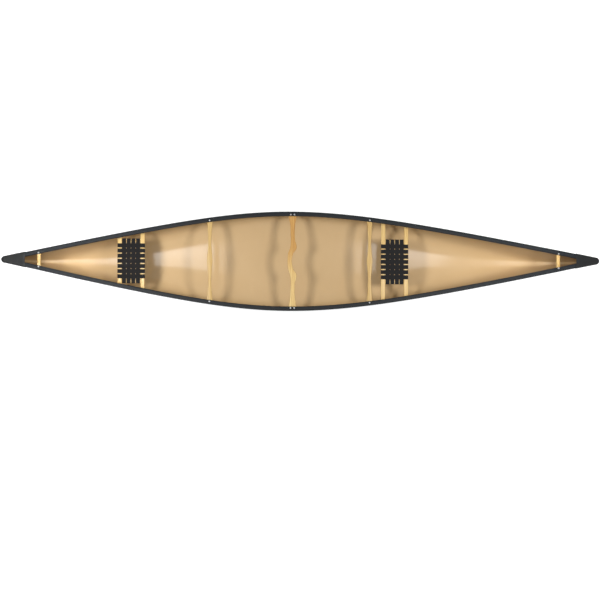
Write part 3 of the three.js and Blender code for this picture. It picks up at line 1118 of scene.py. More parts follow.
@dataclass(frozen=True)
class Gunwales:
    """Vinyl extrusions over the hull's rim, with an aluminium channel inside each."""

    lines: HullLines
    width: float = 40
    height: float = 28
    outer_lip: float = 2  # how much deeper the outer wall hangs
    outwale: float = 9
    slot: float = 6
    skin: float = 4
    web: float = 2.5
    inner_web: float = 3
    reach: float = 2414
    step: float = 40
    crown: float = 1.4
    top_round: float = 5.5
    lip_round: float = 1.4

    def profile(self) -> list[tuple[float, float]]:
        """Draw the extrusion's section.

        Returns:
            Distance in from the outer edge and height from the top, for each corner.
        """
        inwale = self.outwale + self.slot
        return [
            (0, -self.crown),
            (0, -self.height - self.outer_lip),
            (self.outwale, -self.height - self.outer_lip),
            (self.outwale, -self.skin),
            (inwale, -self.skin),
            (inwale, -self.height),
            (inwale + self.web, -self.height),
            (inwale + self.web, -self.skin),
            (self.width - self.inner_web, -self.skin),
            (self.width - self.inner_web, -self.height),
            (self.width, -self.height),
            (self.width, -self.crown),
            (self.width * 0.75, -self.crown * 0.25),
            (self.width * 0.5, 0),
            (self.width * 0.25, -self.crown * 0.25),
        ]

    def mesh(self, side: int) -> bmesh.types.BMesh:
        """Sweep the section along one side of the sheer.

        Args:
            side: 1 for port, -1 for starboard.

        Returns:
            The closed extrusion.
        """
        count = round(2 * self.reach / self.step)
        rings = []
        for i in range(count + 1):
            x = -self.reach + 2 * self.reach * i / count
            edge, top = self.lines.breadth(x), self.lines.sheer_height(x)
            profile = self.profile()
            rings.append([Vector((x, side * (edge - inset), top + z)) for inset, z in profile])
        mesh = bmesh.new()
        add_sheet(mesh, rings, closed=True)
        corners = self.corner_edges(mesh, side, (0, self.width), self.crown)
        lips = self.corner_edges(mesh, side, (0,), self.height + self.outer_lip)
        round_edges(mesh, corners, self.top_round * MM, 5)
        round_edges(mesh, [edge for edge in lips if edge.is_valid], self.lip_round * MM, 2)
        close_ends(mesh)
        return mesh

    def corner_edges(
        self, mesh: bmesh.types.BMesh, side: int, insets: Sequence[float], drop: float
    ) -> list[bmesh.types.BMEdge]:
        """Find the long edges that follow given corners of the section.

        Args:
            mesh: The swept mesh.
            side: 1 for port, -1 for starboard.
            insets: Distances in from the outer edge.
            drop: Distance below the top.

        Returns:
            The edges.
        """
        def at_corner(vertex: bmesh.types.BMVert) -> bool:
            """Say whether a vertex lies on one of the corners.

            Args:
                vertex: Vertex of the swept mesh.

            Returns:
                True if it does.
            """
            x, y, z = vertex.co / MM
            inset = self.lines.breadth(x) - side * y
            level = abs(self.lines.sheer_height(x) - z - drop) < NEAR
            return level and any(abs(inset - wanted) < NEAR for wanted in insets)

        return [edge for edge in mesh.edges if all(at_corner(vertex) for vertex in edge.verts)]

    def build(self) -> None:
        """Build and dress both gunwales, and dress their inserts."""
        vinyl = ExtrudedVinyl("extruded_vinyl_charcoal").material()
        channel = WorkedMetal(
            "extruded_aluminium", "b9bcc0", "a5a8ad", gloss=(0.34, 0.46), stretch=(0.02, 1, 1)
        ).material()
        for side_name, side in SIDES.items():
            name, node = f"gunwale_extrusion_{side_name}", f"gunwale_{side_name}"
            make_piece(name, self.mesh(side), [vinyl], [node])
            dress_node(f"gunwale_insert_{side_name}", channel)


@dataclass(frozen=True)
class DeckCaps:
    """Moulded caps over both ends: crowned, with a round nose and deep skirts."""

    lines: HullLines
    length: float = 199
    overlap: float = 3.6
    nose_radius: float = 31
    plate: float = 3
    skirt: float = 34
    rake: float = 10
    crown: float = 1.6
    lift: float = 3.5
    top_round: float = 5
    round_steps: int = 5
    edge_bevel: float = 0.6
    side_steps: int = 10
    nose_steps: int = 24

    def outline(self, sign: int, inset: float) -> list[tuple[float, float]]:
        """Draw the plan, from the inboard end round the nose and back.

        Args:
            sign: 1 for the bow, -1 for the stern.
            inset: Distance that the plan is drawn in by.

        Returns:
            Distance from amidships and from the centreline, for each point.
        """
        inboard = self.lines.length / 2 - self.length
        half = self.lines.breadth(sign * inboard) + self.overlap - inset
        radius = self.nose_radius - inset
        centre = self.lines.length / 2 - self.nose_radius
        lean = math.atan2(half - radius, centre - inboard)
        sweep = math.pi / 2 - lean
        start = Vector((inboard, half))
        touch = Vector((centre + radius * math.cos(sweep), radius * math.sin(sweep)))
        side = [start.lerp(touch, i / self.side_steps) for i in range(self.side_steps)]
        nose = []
        for i in range(self.nose_steps + 1):
            angle = sweep * (1 - 2 * i / self.nose_steps)
            nose.append((centre + radius * math.cos(angle), radius * math.sin(angle)))
        return [*map(tuple, side), *nose, *((x, -y) for x, y in reversed(side))]

    def ring(self, sign: int, inset: float, drop: float, gather: float) -> list[Vector]:
        """Draw one line of the cap, from its skirt to its ridge.

        Args:
            sign: 1 for the bow, -1 for the stern.
            inset: Distance that the plan is drawn in by.
            drop: Distance below the cap's top.
            gather: 0 on the plan's edge, 1 on the ridge along the middle.

        Returns:
            Points in millimetres.
        """
        inboard = self.lines.length / 2 - self.length
        centre = self.lines.length / 2 - self.nose_radius
        level = self.lines.sheer_height(sign * inboard) + self.lift
        slope = (self.lines.sheer_bow if sign > 0 else self.lines.sheer_stern).deck_slope
        points = []
        for x, y in self.outline(sign, inset):
            run = (x - inboard) / self.length
            lean = self.rake * run**2 * max(0.0, drop - 4) / self.skirt
            ridge = min(x, centre)
            height = level + run * self.length * slope - drop
            along = sign * (x - lean + (ridge - x) * gather)
            points.append(Vector((along, y * (1 - gather), height)))
        return points

    def mesh(self, sign: int) -> bmesh.types.BMesh:
        """Build one cap's outer skin.

        Args:
            sign: 1 for the bow, -1 for the stern.

        Returns:
            The open skin, facing outwards.
        """
        edge, radius = self.crown, self.top_round
        rows = [(0.5, self.skirt, 0.0), (0.4, 24, 0.0), (0.2, 14, 0.0), (0.0, edge + radius, 0.0)]
        for i in range(1, self.round_steps + 1):
            turn = math.pi / 2 * i / self.round_steps
            rows.append((radius * (1 - math.cos(turn)), edge + radius * (1 - math.sin(turn)), 0.0))
        for gather in (0.25, 0.5, 0.75, 1.0):
            rows.append((radius, edge * (1 - gather) ** 2, gather))
        rings = [self.ring(sign, *row) for row in rows]
        mesh = bmesh.new()
        add_sheet(mesh, rings, closed=False)
        bmesh.ops.remove_doubles(mesh, verts=mesh.verts, dist=WELD)
        bmesh.ops.recalc_face_normals(mesh, faces=mesh.faces)
        top = max(mesh.faces, key=lambda face: abs(face.normal.z) * face.calc_area())
        if top.normal.z < 0:
            bmesh.ops.reverse_faces(mesh, faces=mesh.faces)
        return mesh

    def build(self) -> None:
        """Build and dress both caps."""
        plastic = MouldedPlastic("moulded_abs_black").material()
        for end_name, sign in (("bow", 1), ("stern", -1)):
            node = f"{end_name}_deck_cap"
            cap = make_piece(f"{node}_moulding", self.mesh(sign), [plastic], [node])
            thicken(cap, self.plate, -1.0, self.edge_bevel)


@dataclass(frozen=True)
class CrossPiece:
    """One bar between the gunwales: its edges as (share of half-length, x) in millimetres."""

    name: str
    x: float
    board: float  # offset of its grain, m
    fore: Sequence[tuple[float, float]]
    aft: Sequence[tuple[float, float]]
    clearance: float  # its ends in from the gunwale's outer edge
    bolt_inset: float
    nuts: bool
    round: float
    bolt_offsets: Sequence[float] = (0,)
    # painted shade: how much darker the bar's port end is painted
    painted_port_shade: float = 0.0
    pale: str = "bda36c"
    warm: str = "97733a"


def symmetric(edge: Sequence[tuple[float, float]]) -> dict[str, object]:
    """Give a bar the same edge fore and aft."""
    return {"fore": list(edge), "aft": [(share, -x) for share, x in edge]}


def along_spline(controls: Sequence[tuple[float, float]], share: float) -> Vector:
    """Find a point on a smooth curve through control points.

    Args:
        controls: Points that the curve passes through.
        share: 0 at the first point, 1 at the last.

    Returns:
        The point.
    """
    points = [Vector(point) for point in controls]
    place = share * (len(points) - 1)
    index = min(int(place), len(points) - 2)
    near, far = points[index], points[index + 1]
    before, after = points[max(0, index - 1)], points[min(len(points) - 1, index + 2)]
    t = place - index
    leave, arrive = (far - before) / 2, (after - near) / 2
    cubic = (near - far) * 2 + leave + arrive
    square = (far - near) * 3 - leave * 2 - arrive
    return cubic * t**3 + square * t**2 + leave * t + near


@dataclass(frozen=True)
class CrossPieces:
    """Yoke, thwarts and carry handles, bolted up under the gunwales."""

    lines: HullLines
    thickness: float = 19
    top_drop: float = 28.35  # top of the bars below the gunwale's top
    steps: int = 30
    head_radius: float = 7.5
    shank_radius: float = 3
    nut_radius: float = 6.35
    nut_height: float = 4.2
    washer_radius: float = 8.5
    washer_height: float = 1.3
    washer_round: float = 0.3
    socket_radius: float = 2.3
    gap: float = 0.35

    def bars(self) -> list[CrossPiece]:
        """List the bars.

        Returns:
            The yoke, both thwarts and both handles.
        """
        yoke_fore = [
            (0, -9), (0.16, 6), (0.29, 37), (0.45, 22), (0.61, 19), (0.77, 22), (0.92, 34), (1, 34),
        ]
        yoke_aft = [
            (0, -46), (0.16, -41), (0.29, -22), (0.45, -16),
            (0.61, -19), (0.77, -22), (0.92, -34), (1, -34),
        ]
        thwart = symmetric([(0, 26.5), (0.2, 20), (0.4, 14), (0.6, 15), (0.8, 20), (1, 27)])
        handle = symmetric([(0, 14.5), (0.5, 15), (1, 17.5)])
        thwart |= {"clearance": 19.5, "bolt_inset": 27, "nuts": True, "round": 5.5}
        handle |= {"clearance": 23.5, "bolt_inset": 31, "nuts": False, "round": 7.5}
        # The yoke's port half is painted darker, as painted shade.
        yoke = CrossPiece(
            "center_yoke", -62, 0.31, yoke_fore, yoke_aft, clearance=18, bolt_inset=27, nuts=True,
            round=5.5, bolt_offsets=(-16.5, 16.5), painted_port_shade=0.7, pale="d0ba84", warm="a88147",
        )
        return [
            yoke,
            CrossPiece("stern_thwart", -800, 1.27, **thwart),
            CrossPiece("bow_thwart", 624, 2.63, **thwart),
            CrossPiece("stern_carry_handle", -2278, 3.41, **handle),
            CrossPiece("bow_carry_handle", 2246, 4.59, **handle),
        ]

    def hung(self, x: float) -> Matrix:
        """Find a bar's frame on the gunwale's top line, in metres.

        Args:
            x: Place along the canoe, in millimetres.

        Returns:
            A frame that pitches with the sheer.
        """
        pitch = Matrix.Rotation(-math.atan(self.lines.sheer_slope(x)), 4, "Y")
        return Matrix.Translation(Vector((x, 0, self.lines.sheer_height(x))) * MM) @ pitch

    def wood(self, bar: CrossPiece) -> bmesh.types.BMesh:
        """Shape one bar.

        Args:
            bar: The bar's sizes.

        Returns:
            The closed, rounded bar in place.
        """
        half = self.lines.breadth(bar.x) - bar.clearance
        top, bottom = -self.top_drop, -self.top_drop - self.thickness
        rings = []
        for i in range(-self.steps, self.steps + 1):
            reach, fore = along_spline(bar.fore, abs(i) / self.steps)
            aft = along_spline(bar.aft, abs(i) / self.steps).y
            y = math.copysign(reach * half, i)
            corners = [(aft, bottom), (aft, top), (fore, top), (fore, bottom)]
            rings.append([Vector((x, y, z)) for x, z in corners])
        mesh = bmesh.new()
        add_sheet(mesh, rings, closed=True)
        long_edges = [e for e in mesh.edges if abs(e.verts[0].co.y - e.verts[1].co.y) > WELD]
        round_edges(mesh, long_edges, bar.round * MM, 4)
        close_ends(mesh)
        bmesh.ops.transform(mesh, matrix=self.hung(bar.x), verts=mesh.verts)
        return mesh

    def bolt(self, depth: float) -> bmesh.types.BMesh:
        """Make a dome-headed bolt with a hexagon socket.

        Args:
            depth: Length of the shank below the gunwale's top, in millimetres.

        Returns:
            The bolt, standing on its frame's plane.
        """
        radius, socket, base = self.head_radius, self.socket_radius, self.gap
        profile = [
            (0, base + 1.2), (socket, base + 1.2), (socket, base + 3.0), (socket + 0.4, base + 3.15),
            (radius * 0.62, base + 2.7), (radius * 0.85, base + 1.8), (radius * 0.97, base + 0.8),
            (radius, base), (self.shank_radius, base), (self.shank_radius, -depth + 1),
            (self.shank_radius - 0.7, -depth), (0, -depth),
        ]
        mesh = turned(profile, 24)
        limit = (socket + 0.01) * MM
        for vertex in mesh.verts:
            if 0 < vertex.co.xy.length < limit and vertex.co.z > base * MM:
                sector = math.atan2(vertex.co.y, vertex.co.x) % (math.pi / 3) - math.pi / 6
                vertex.co.xy *= math.cos(math.pi / 6) / math.cos(sector)
        return mesh

    def nut(self) -> bmesh.types.BMesh:
        """Make a chamfered hexagon nut on a washer, hanging below its frame's plane.

        Returns:
            The nut and its washer.
        """
        rim, edge, under = self.washer_radius, self.washer_round, -self.washer_height
        washer = turned(
            [
                (0, 0), (rim - edge, 0), (rim, -edge),
                (rim, edge + under), (rim - edge, under), (0, under),
            ],
            28,
        )
        nut = bmesh.new()
        bmesh.ops.create_cone(
            nut,
            cap_ends=True,
            segments=6,
            radius1=self.nut_radius * MM,
            radius2=self.nut_radius * MM,
            depth=self.nut_height * MM,
        )
        round_edges(nut, nut.edges[:], 0.0005, 2)
        drop = -(self.washer_height + self.nut_height / 2)
        bmesh.ops.translate(nut, vec=(0, 0, drop * MM), verts=nut.verts)
        return joined([washer, nut])

    def build(self) -> None:
        """Build and dress every bar with its bolts and nuts."""
        steel = WorkedMetal(
            "turned_stainless_steel", "e6e7e8", "d2d4d6", gloss=(0.3, 0.42), stretch=(1, 1, 0.2)
        ).material()
        for bar in self.bars():
            ash = VarnishedAsh(
                f"varnished_ash_{bar.name}", Grain.ATHWART, bar.board, bar.pale, bar.warm,
                bar.painted_port_shade,
            )
            make_piece(f"{bar.name}_wood", self.wood(bar), [ash.material()], [bar.name])
            for side_name, side in SIDES.items():
                for number, offset in enumerate(bar.bolt_offsets, 1):
                    label = f"_{number}" if len(bar.bolt_offsets) > 1 else ""
                    y = side * (self.lines.breadth(bar.x + offset) - bar.bolt_inset)
                    self.fasten(bar, f"{bar.name}_{side_name}{label}", offset, y, steel)

    def fasten(
        self, bar: CrossPiece, label: str, x: float, y: float, steel: bpy.types.Material
    ) -> None:
        """Put one bolt, and its nut where it has one, in its place.

        Args:
            bar: The bar that it holds.
            label: Ending of the fastener's name.
            x: Place along the canoe from the bar's middle, in millimetres.
            y: Place across the canoe, in millimetres.
            steel: The fasteners' finish.
        """
        under = self.top_drop + self.thickness
        depth = under + 8 if bar.nuts else under - 4
        place = self.hung(bar.x) @ Matrix.Translation(Vector((x, y, 0)) * MM)
        bolt = self.bolt(depth)
        bmesh.ops.transform(bolt, matrix=place, verts=bolt.verts)
        make_piece(f"stainless_bolt_{label}", bolt, [steel], [f"bolt_{label}"])
        if bar.nuts:
            nut = self.nut()
            below = place @ Matrix.Translation((0, 0, -(under + self.gap) * MM))
            bmesh.ops.transform(nut, matrix=below, verts=nut.verts)
            make_piece(f"stainless_nut_{label}", nut, [steel], [f"nut_{label}"])


@dataclass(frozen=True)
class Seats:
    """Two ash seat frames laced with webbing, each on four aluminium hangers."""

    names: tuple[str, ...] = ("stern", "bow")
    depth: float = 243
    width: float = 400
    rail: float = 37
    rail_round: float = 4
    strap_width: float = 37
    strap_thickness: float = 1.2
    long_straps: int = 7
    long_pitch: float = 46
    cross_straps: int = 4
    cross_pitch: float = 41.5
    weave: float = 0.95
    strap_gap: float = 0.15  # room between straps and wood
    strap_step: float = 3  # distance between points along a strap
    tail: float = 31  # from the frame's edge to a strap's end
    tail_bend: float = 16
    staple_shift: float = 8  # staples to each side of a strap's middle
    hanger_thickness: float = 3
    hanger_reach: float = 19
    hanger_bevel: float = 0.5
    bend_radius: float = 5

    def frame_box(self, seat: str) -> tuple[Vector, Vector]:
        """Find the box of a seat's rails, between its outer edges.

        Args:
            seat: The seat's name.

        Returns:
            Lowest and highest corner, in metres.
        """
        front, rear = (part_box(f"{seat}_seat_{rail}_rail") for rail in ("front", "rear"))
        half = self.width / 2 * MM
        return Vector((rear[0].x, -half, rear[0].z)), Vector((front[1].x, half, front[1].z))

    def places(self, count: int, pitch: float) -> list[float]:
        """Space straps evenly about the frame's middle, in millimetres."""
        return [(i - (count - 1) / 2) * pitch for i in range(count)]

    def strap_path(
        self, half: float, thickness: float, crossings: Sequence[float], first: int
    ) -> list[Vector]:
        """Draw a strap's middle line over the frame, as (run, height) from the frame's top.

        Args:
            half: Half the frame's size along the strap.
            thickness: Thickness of the rails.
            crossings: Places of the straps that it crosses.
            first: 1 if it goes over the first of them, -1 if under.

        Returns:
            Points in millimetres.
        """
        lift = self.strap_thickness / 2 + self.strap_gap
        corner = self.rail_round + lift
        edge, under = half + lift, -thickness - lift
        path = [Vector((self.tail - half, under)), Vector((self.tail_bend - half, under))]
        turns = [math.pi / 2 * i / 4 for i in range(5)]
        for turn in turns:
            out, down = corner * (1 - math.sin(turn)), corner * (1 - math.cos(turn))
            path.append(Vector((-edge + out, under + down)))
        path.append(Vector((-edge, -thickness / 2)))
        for turn in turns:
            out, down = corner * (1 - math.cos(turn)), corner * (1 - math.sin(turn))
            path.append(Vector((-edge + out, lift - down)))
        run = -edge + corner + self.strap_step
        while run < 0.5:
            path.append(Vector((run, self.weave_height(run, crossings, first))))
            run += self.strap_step
        middle = self.strap_step / 2
        far = [Vector((-point.x, point.y)) for point in reversed(path) if point.x < -middle]
        if len(crossings) % 2 == 0:
            # The weave then differs on the two sides of the middle. The two points of the far
            # tail are raised with it, so that tail runs up through the rail and not under it.
            panel = edge - corner - 2
            far = [
                Vector((point.x, self.weave_height(point.x, crossings, first)))
                if point.x < panel
                else point
                for point in far
            ]
        return path + far

    def weave_height(self, run: float, crossings: Sequence[float], first: int) -> float:
        """Find how high a strap's middle line runs at a place on the woven panel.

        Args:
            run: Place along the strap.
            crossings: Places of the straps that it crosses.
            first: 1 if it goes over the first of them, -1 if under.

        Returns:
            The height in millimetres.
        """
        pitch = crossings[1] - crossings[0]
        lift = self.strap_thickness / 2 + self.strap_gap
        over = self.weave + lift
        if run < crossings[0] - pitch / 2 or run > crossings[-1] + pitch / 2:
            outside = min(abs(run - crossings[0]), abs(run - crossings[-1])) - pitch / 2
            return lift + (over - lift) * max(0.0, 1 - outside / 8)
        wave = math.cos(math.pi * (run - crossings[0]) / pitch)
        return over + self.weave * first * math.copysign(abs(wave) ** 0.35, wave)

    def strap(
        self, path: Sequence[Vector], centre: Vector, offset: float, along_x: bool
    ) -> bmesh.types.BMesh:
        """Make one strap along its path.

        Args:
            path: The strap's middle line, as (run, height) in millimetres.
            centre: Middle of the frame's top, in millimetres.
            offset: Distance of the strap from that middle.
            along_x: Whether the strap runs fore and aft.

        Returns:
            The closed strap, with its UV map.
        """
        half, thick = self.strap_width / 2, self.strap_thickness / 2
        section = [(-half, 0), (-half + 0.6, -thick), (half - 0.6, -thick), (half, 0),
                   (half - 0.6, thick), (-half + 0.6, thick)]
        rings = []
        for i, point in enumerate(path):
            way = (path[min(i + 1, len(path) - 1)] - path[max(i - 1, 0)]).normalized()
            up = Vector((-way.y, way.x))
            ring = []
            for across, out in section:
                run, height = point + up * out
                flat = (run, offset + across) if along_x else (offset + across, run)
                ring.append(centre + Vector((*flat, height)))
            rings.append(ring)
        mesh = bmesh.new()
        add_sheet(mesh, rings, closed=True, mapped=True)
        close_ends(mesh)
        return mesh

    def build_webbing(self, seat: str, webbing: bpy.types.Material) -> None:
        """Lace one seat.

        Args:
            seat: The seat's name.
            webbing: The straps' finish.
        """
        low, high = (corner / MM for corner in self.frame_box(seat))
        centre = Vector(((low.x + high.x) / 2, 0, high.z))
        thickness = high.z - low.z
        long_places = self.places(self.long_straps, self.long_pitch)
        cross_places = self.places(self.cross_straps, self.cross_pitch)
        for i, y in enumerate(long_places):
            path = self.strap_path(self.depth / 2, thickness, cross_places, (-1) ** i)
            mesh = self.strap(path, centre, y, along_x=True)
            name = f"{seat}_seat_long_strap_{i + 1}"
            make_piece(name, mesh, [webbing], [f"{seat}_seat_webbing"])
        for i, x in enumerate(cross_places):
            path = self.strap_path(self.width / 2, thickness, long_places, -((-1) ** i))
            mesh = self.strap(path, centre, x, along_x=False)
            name = f"{seat}_seat_cross_strap_{i + 1}"
            make_piece(name, mesh, [webbing], [f"{seat}_seat_webbing"])

    def build_staples(self, seat: str, steel: bpy.types.Material) -> None:
        """Staple the tails of the straps under one seat.

        Args:
            seat: The seat's name.
            steel: The staples' finish.
        """
        low, high = self.frame_box(seat)
        middle = (low + high) / 2
        under = low.z - (self.strap_thickness + self.strap_gap) * MM
        inset = (self.rail / 2 + 1) * MM
        half_x, half_y = self.depth / 2 * MM - inset, self.width / 2 * MM - inset
        signs = (-1, 1)
        shifts = [sign * self.staple_shift * MM for sign in signs]
        spots = []
        for place in self.places(self.long_straps, self.long_pitch):
            y = place * MM
            spots += [(side * half_x, y + shift, False) for side in signs for shift in shifts]
        for place in self.places(self.cross_straps, self.cross_pitch):
            x = place * MM
            spots += [(x + shift, side * half_y, True) for side in signs for shift in shifts]
        staples = []
        for x, y, lengthwise in spots:
            size = Vector((0.01, 0.0012, 0.0016)) if lengthwise else Vector((0.0012, 0.01, 0.0016))
            centre = Vector((middle.x + x, y, under))
            staples.append(block(centre - size / 2, centre + size / 2, 0.0003, 1))
        make_piece(f"{seat}_seat_staples", joined(staples), [steel])

    def hanger(self, node: str) -> bmesh.types.BMesh:
        """Fold one hanger from a strip, as its middle surface.

        Args:
            node: The hanger's CAD node.

        Returns:
            The open strip, ready to be thickened.
        """
        low, high = (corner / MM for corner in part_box(node))
        side = 1 if high.y > 0 else -1
        web = max(abs(low.y), abs(high.y))
        foot = web - min(abs(low.y), abs(high.y))
        half = self.hanger_thickness / 2
        path = [
            (web - self.hanger_reach, high.z - half),
            (web - half, high.z - half),
            (web - half, low.z + half),
            (web - foot, low.z + half),
        ]
        rings = [[Vector((x, side * y, z)) for x in (low.x, high.x)] for y, z in path]
        mesh = bmesh.new()
        add_sheet(mesh, rings, closed=False)
        bends = [edge for edge in mesh.edges if len(edge.link_faces) == 2]
        round_edges(mesh, bends, self.bend_radius * MM, 4)
        return mesh

    def rivets(self, node: str) -> bmesh.types.BMesh:
        """Make the two rivets that hold one hanger to the hull.

        Args:
            node: The hanger's CAD node.

        Returns:
            Two domes on the web's inner face.
        """
        low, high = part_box(node)
        side = 1 if high.y > 0 else -1
        face = max(abs(low.y), abs(high.y)) - self.hanger_thickness * MM
        heads = []
        for share in (0.4, 0.72):
            head = turned([(0, 1.9), (2.2, 1.6), (3.9, 0.7), (4.4, 0), (2, -2), (0, -2)], 16)
            place = Vector(((low.x + high.x) / 2, side * face, low.z + (high.z - low.z) * share))
            matrix = Matrix.Translation(place) @ Matrix.Rotation(side * math.pi / 2, 4, "X")
            bmesh.ops.transform(head, matrix=matrix, verts=head.verts)
            heads.append(head)
        return joined(heads)

    def seat_screw(self, node: str) -> bmesh.types.BMesh:
        """Make one pan-headed screw up through a hanger's foot.

        Args:
            node: The screw's CAD node.

        Returns:
            The screw in place.
        """
        low, high = (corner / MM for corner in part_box(node))
        length = high.z - low.z
        profile = [
            (0, 1.3), (0.9, 1.3), (1.3, 0.2), (2.8, 0), (4.4, 0.7), (5, 2.2), (5, 2.25),
            (2.2, 2.25), (2.2, length - 2), (0, length),
        ]
        mesh = turned(profile, 20)
        place = Vector(((low.x + high.x) / 2, (low.y + high.y) / 2, low.z)) * MM
        bmesh.ops.translate(mesh, vec=place, verts=mesh.verts)
        return mesh

    def build_hangers(
        self, seat: str, rail: str, aluminium: bpy.types.Material, steel: bpy.types.Material
    ) -> None:
        """Build both hangers of one rail with their rivets and screws.

        Args:
            seat: The seat's name.
            rail: The rail that they carry.
            aluminium: The hangers' finish.
            steel: The screws' finish.
        """
        for side_name in SIDES:
            label = f"{seat}_{rail}_{side_name}"
            node = f"hanger_{label}"
            strip = make_piece(f"folded_{node}", self.hanger(node), [aluminium], [node])
            thicken(strip, self.hanger_thickness, 0.0, self.hanger_bevel)
            make_piece(f"rivets_{label}", self.rivets(node), [aluminium])
            screw = f"seat_screw_{label}"
            make_piece(f"stainless_{screw}", self.seat_screw(screw), [steel], [screw])

    def build(self) -> None:
        """Build and dress both seats."""
        webbing = WovenPolyester("woven_polyester_webbing").material()
        aluminium = WorkedMetal(
            "rolled_aluminium", "b4b7bb", "9fa2a7", gloss=(0.36, 0.5), stretch=(0.05, 1, 1)
        ).material()
        steel = WorkedMetal(
            "drawn_stainless_wire", "c4c6c8", "aeb0b3", gloss=(0.24, 0.36), stretch=(1, 1, 0.2)
        ).material()
        for number, seat in enumerate(self.names):
            for offset, rail in enumerate(("front", "rear", "port", "starboard")):
                grain = Grain.ATHWART if rail in ("front", "rear") else Grain.FORE_AND_AFT
                board = 5.3 + number * 3.1 + offset * 0.73
                ash = VarnishedAsh(f"varnished_ash_{seat}_{rail}", grain, board)
                node = f"{seat}_seat_{rail}_rail"
                bar = block(*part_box(node), self.rail_round * MM, 4)
                make_piece(f"{node}_wood", bar, [ash.material()], [node])
            self.build_webbing(seat, webbing)
            self.build_staples(seat, steel)
            for rail in ("front", "rear"):
                self.build_hangers(seat, rail, aluminium, steel)


@dataclass(frozen=True)
class Decals:
    """Plain film on the hull's outside: a tapered stripe amidships, a small panel by the stern."""

    stripe_ends: tuple[float, float] = (-232, 232)
    stripe_top: float = 300
    stripe_height: float = 42
    panel_ends: tuple[float, float] = (-2470, -2400)
    panel_top: float = 470
    panel_height: float = 52
    panel_slope: float = 0.11
    film: float = 0.4
    bite: float = 0.1  # how far its back sits in the hull
    columns: int = 36
    rows: int = 6

    def wrapped(
        self, tree: BVHTree, side: int, corner: Callable[[float, float], tuple[float, float]]
    ) -> bmesh.types.BMesh:
        """Lay a film on the hull.

        Args:
            tree: The hull's surface.
            side: 1 for port, -1 for starboard.
            corner: Gives a film point in side view, as (x, z) in millimetres, from shares of its
                length and height.

        Returns:
            The closed film.
        """
        backing, facing = [], []
        for row in range(self.rows + 1):
            backing.append([])
            facing.append([])
            for column in range(self.columns + 1):
                x, z = corner(column / self.columns, row / self.rows)
                hit, normal, *_ = tree.ray_cast(Vector((x * MM, side, z * MM)), Vector((0, -side, 0)))
                if hit is None:
                    raise ValueError(f"film misses the hull at {x:.0f}, {z:.0f}")
                backing[-1].append(hit / MM - normal * self.bite)
                facing[-1].append(hit / MM + normal * self.film)
        mesh = bmesh.new()
        add_sheet(mesh, facing, closed=False)
        add_sheet(mesh, backing, closed=False)
        bmesh.ops.bridge_loops(mesh, edges=[edge for edge in mesh.edges if edge.is_boundary])
        bmesh.ops.recalc_face_normals(mesh, faces=mesh.faces)
        return mesh

    def stripe(self, along: float, up: float) -> tuple[float, float]:
        """Place a point of the level, tapered stripe.

        Args:
            along: Share of its length.
            up: Share of its height.

        Returns:
            The point as (x, z).
        """
        x = self.stripe_ends[0] + (self.stripe_ends[1] - self.stripe_ends[0]) * along
        taper = 0.22 + 0.78 * math.sin(math.pi * along) ** 0.6
        middle = self.stripe_top - self.stripe_height / 2
        return x, middle + (up - 0.5) * self.stripe_height * taper

    def panel(self, along: float, up: float) -> tuple[float, float]:
        """Place a point of the small panel, which leans with the sheer.

        Args:
            along: Share of its length.
            up: Share of its height.

        Returns:
            The point as (x, z).
        """
        x = self.panel_ends[0] + (self.panel_ends[1] - self.panel_ends[0]) * along
        drop = self.panel_slope * (x - self.panel_ends[0])
        return x, self.panel_top - self.panel_height * (1 - up) - drop

    def build(self) -> None:
        """Build and dress the films on both sides."""
        hull = bmesh.new()
        hull.from_mesh(bpy.data.objects["hull_laminate"].data)
        tree = BVHTree.FromBMesh(hull)
        white = CutVinylFilm("cut_vinyl_film_white", "f4f4f0", "e9e9e4").material()
        grey = CutVinylFilm("cut_vinyl_film_silver", "c9ccce", "b9bcbe").material()
        for side_name, side in SIDES.items():
            stripe = self.wrapped(tree, side, self.stripe)
            make_piece(f"midship_stripe_{side_name}", stripe, [white])
            panel = self.wrapped(tree, side, self.panel)
            make_piece(f"stern_panel_{side_name}", panel, [grey])
        hull.free()


@dataclass(frozen=True)
class BackdropPaper(Finish):
    """Seamless matt paper, faintly mottled, lit from within a little so that it stays pale."""

    colour: str = "a6a6a6"
    shade: str = "a0a0a0"
    light: str = "fafafa"
    glow: float = 0.78
    mottle: float = 500  # breadth of the mottling, mm

    def sockets(self, tree: bpy.types.NodeTree) -> dict[str | int, object]:
        """Give the shader's inputs.

        Args:
            tree: Node tree to build in.

        Returns:
            Colour, roughness and glow of the paper.
        """
        place = add_node(tree, "ShaderNodeTexCoord").outputs["Object"]
        mottle = add_node(
            tree, "ShaderNodeTexNoise", inputs={"Vector": place, "Scale": pattern_scale(self.mottle)}
        )
        colour = add_node(
            tree,
            "ShaderNodeMix",
            {"data_type": "RGBA"},
            {0: mottle.outputs["Fac"], 6: linear(self.colour), 7: linear(self.shade)},
        )
        return {
            "Base Color": colour.outputs[2],
            "Roughness": 0.95,
            "Specular IOR Level": 0.0,
            "Emission Color": linear(self.light),
            "Emission Strength": self.glow,
        }


@dataclass(frozen=True)
class SoftBox:
    """One area light, with its sizes in metres, its power in watts and its spread in degrees."""

    name: str
    place: tuple[float, float, float]
    size: tuple[float, float]
    power: float
    aim: tuple[float, float, float]
    spread: float = 180
    diffuse: bool = True  # whether it lights matt surfaces
    glossy: bool = True  # whether gloss shows it

    def build(self) -> None:
        """Hang the light and face it to its aim."""
        data = bpy.data.lights.new(self.name, "AREA")
        data.shape = "RECTANGLE"
        data.size, data.size_y = self.size
        data.energy = self.power
        data.spread = math.radians(self.spread)
        light = bpy.data.objects.new(self.name, data)
        light.location = self.place
        way = Vector(self.aim) - Vector(self.place)
        light.rotation_euler = way.to_track_quat("-Z", "Y").to_euler()
        light.visible_camera = False
        light.visible_diffuse = self.diffuse
        light.visible_glossy = self.glossy
        bpy.context.scene.collection.objects.link(light)


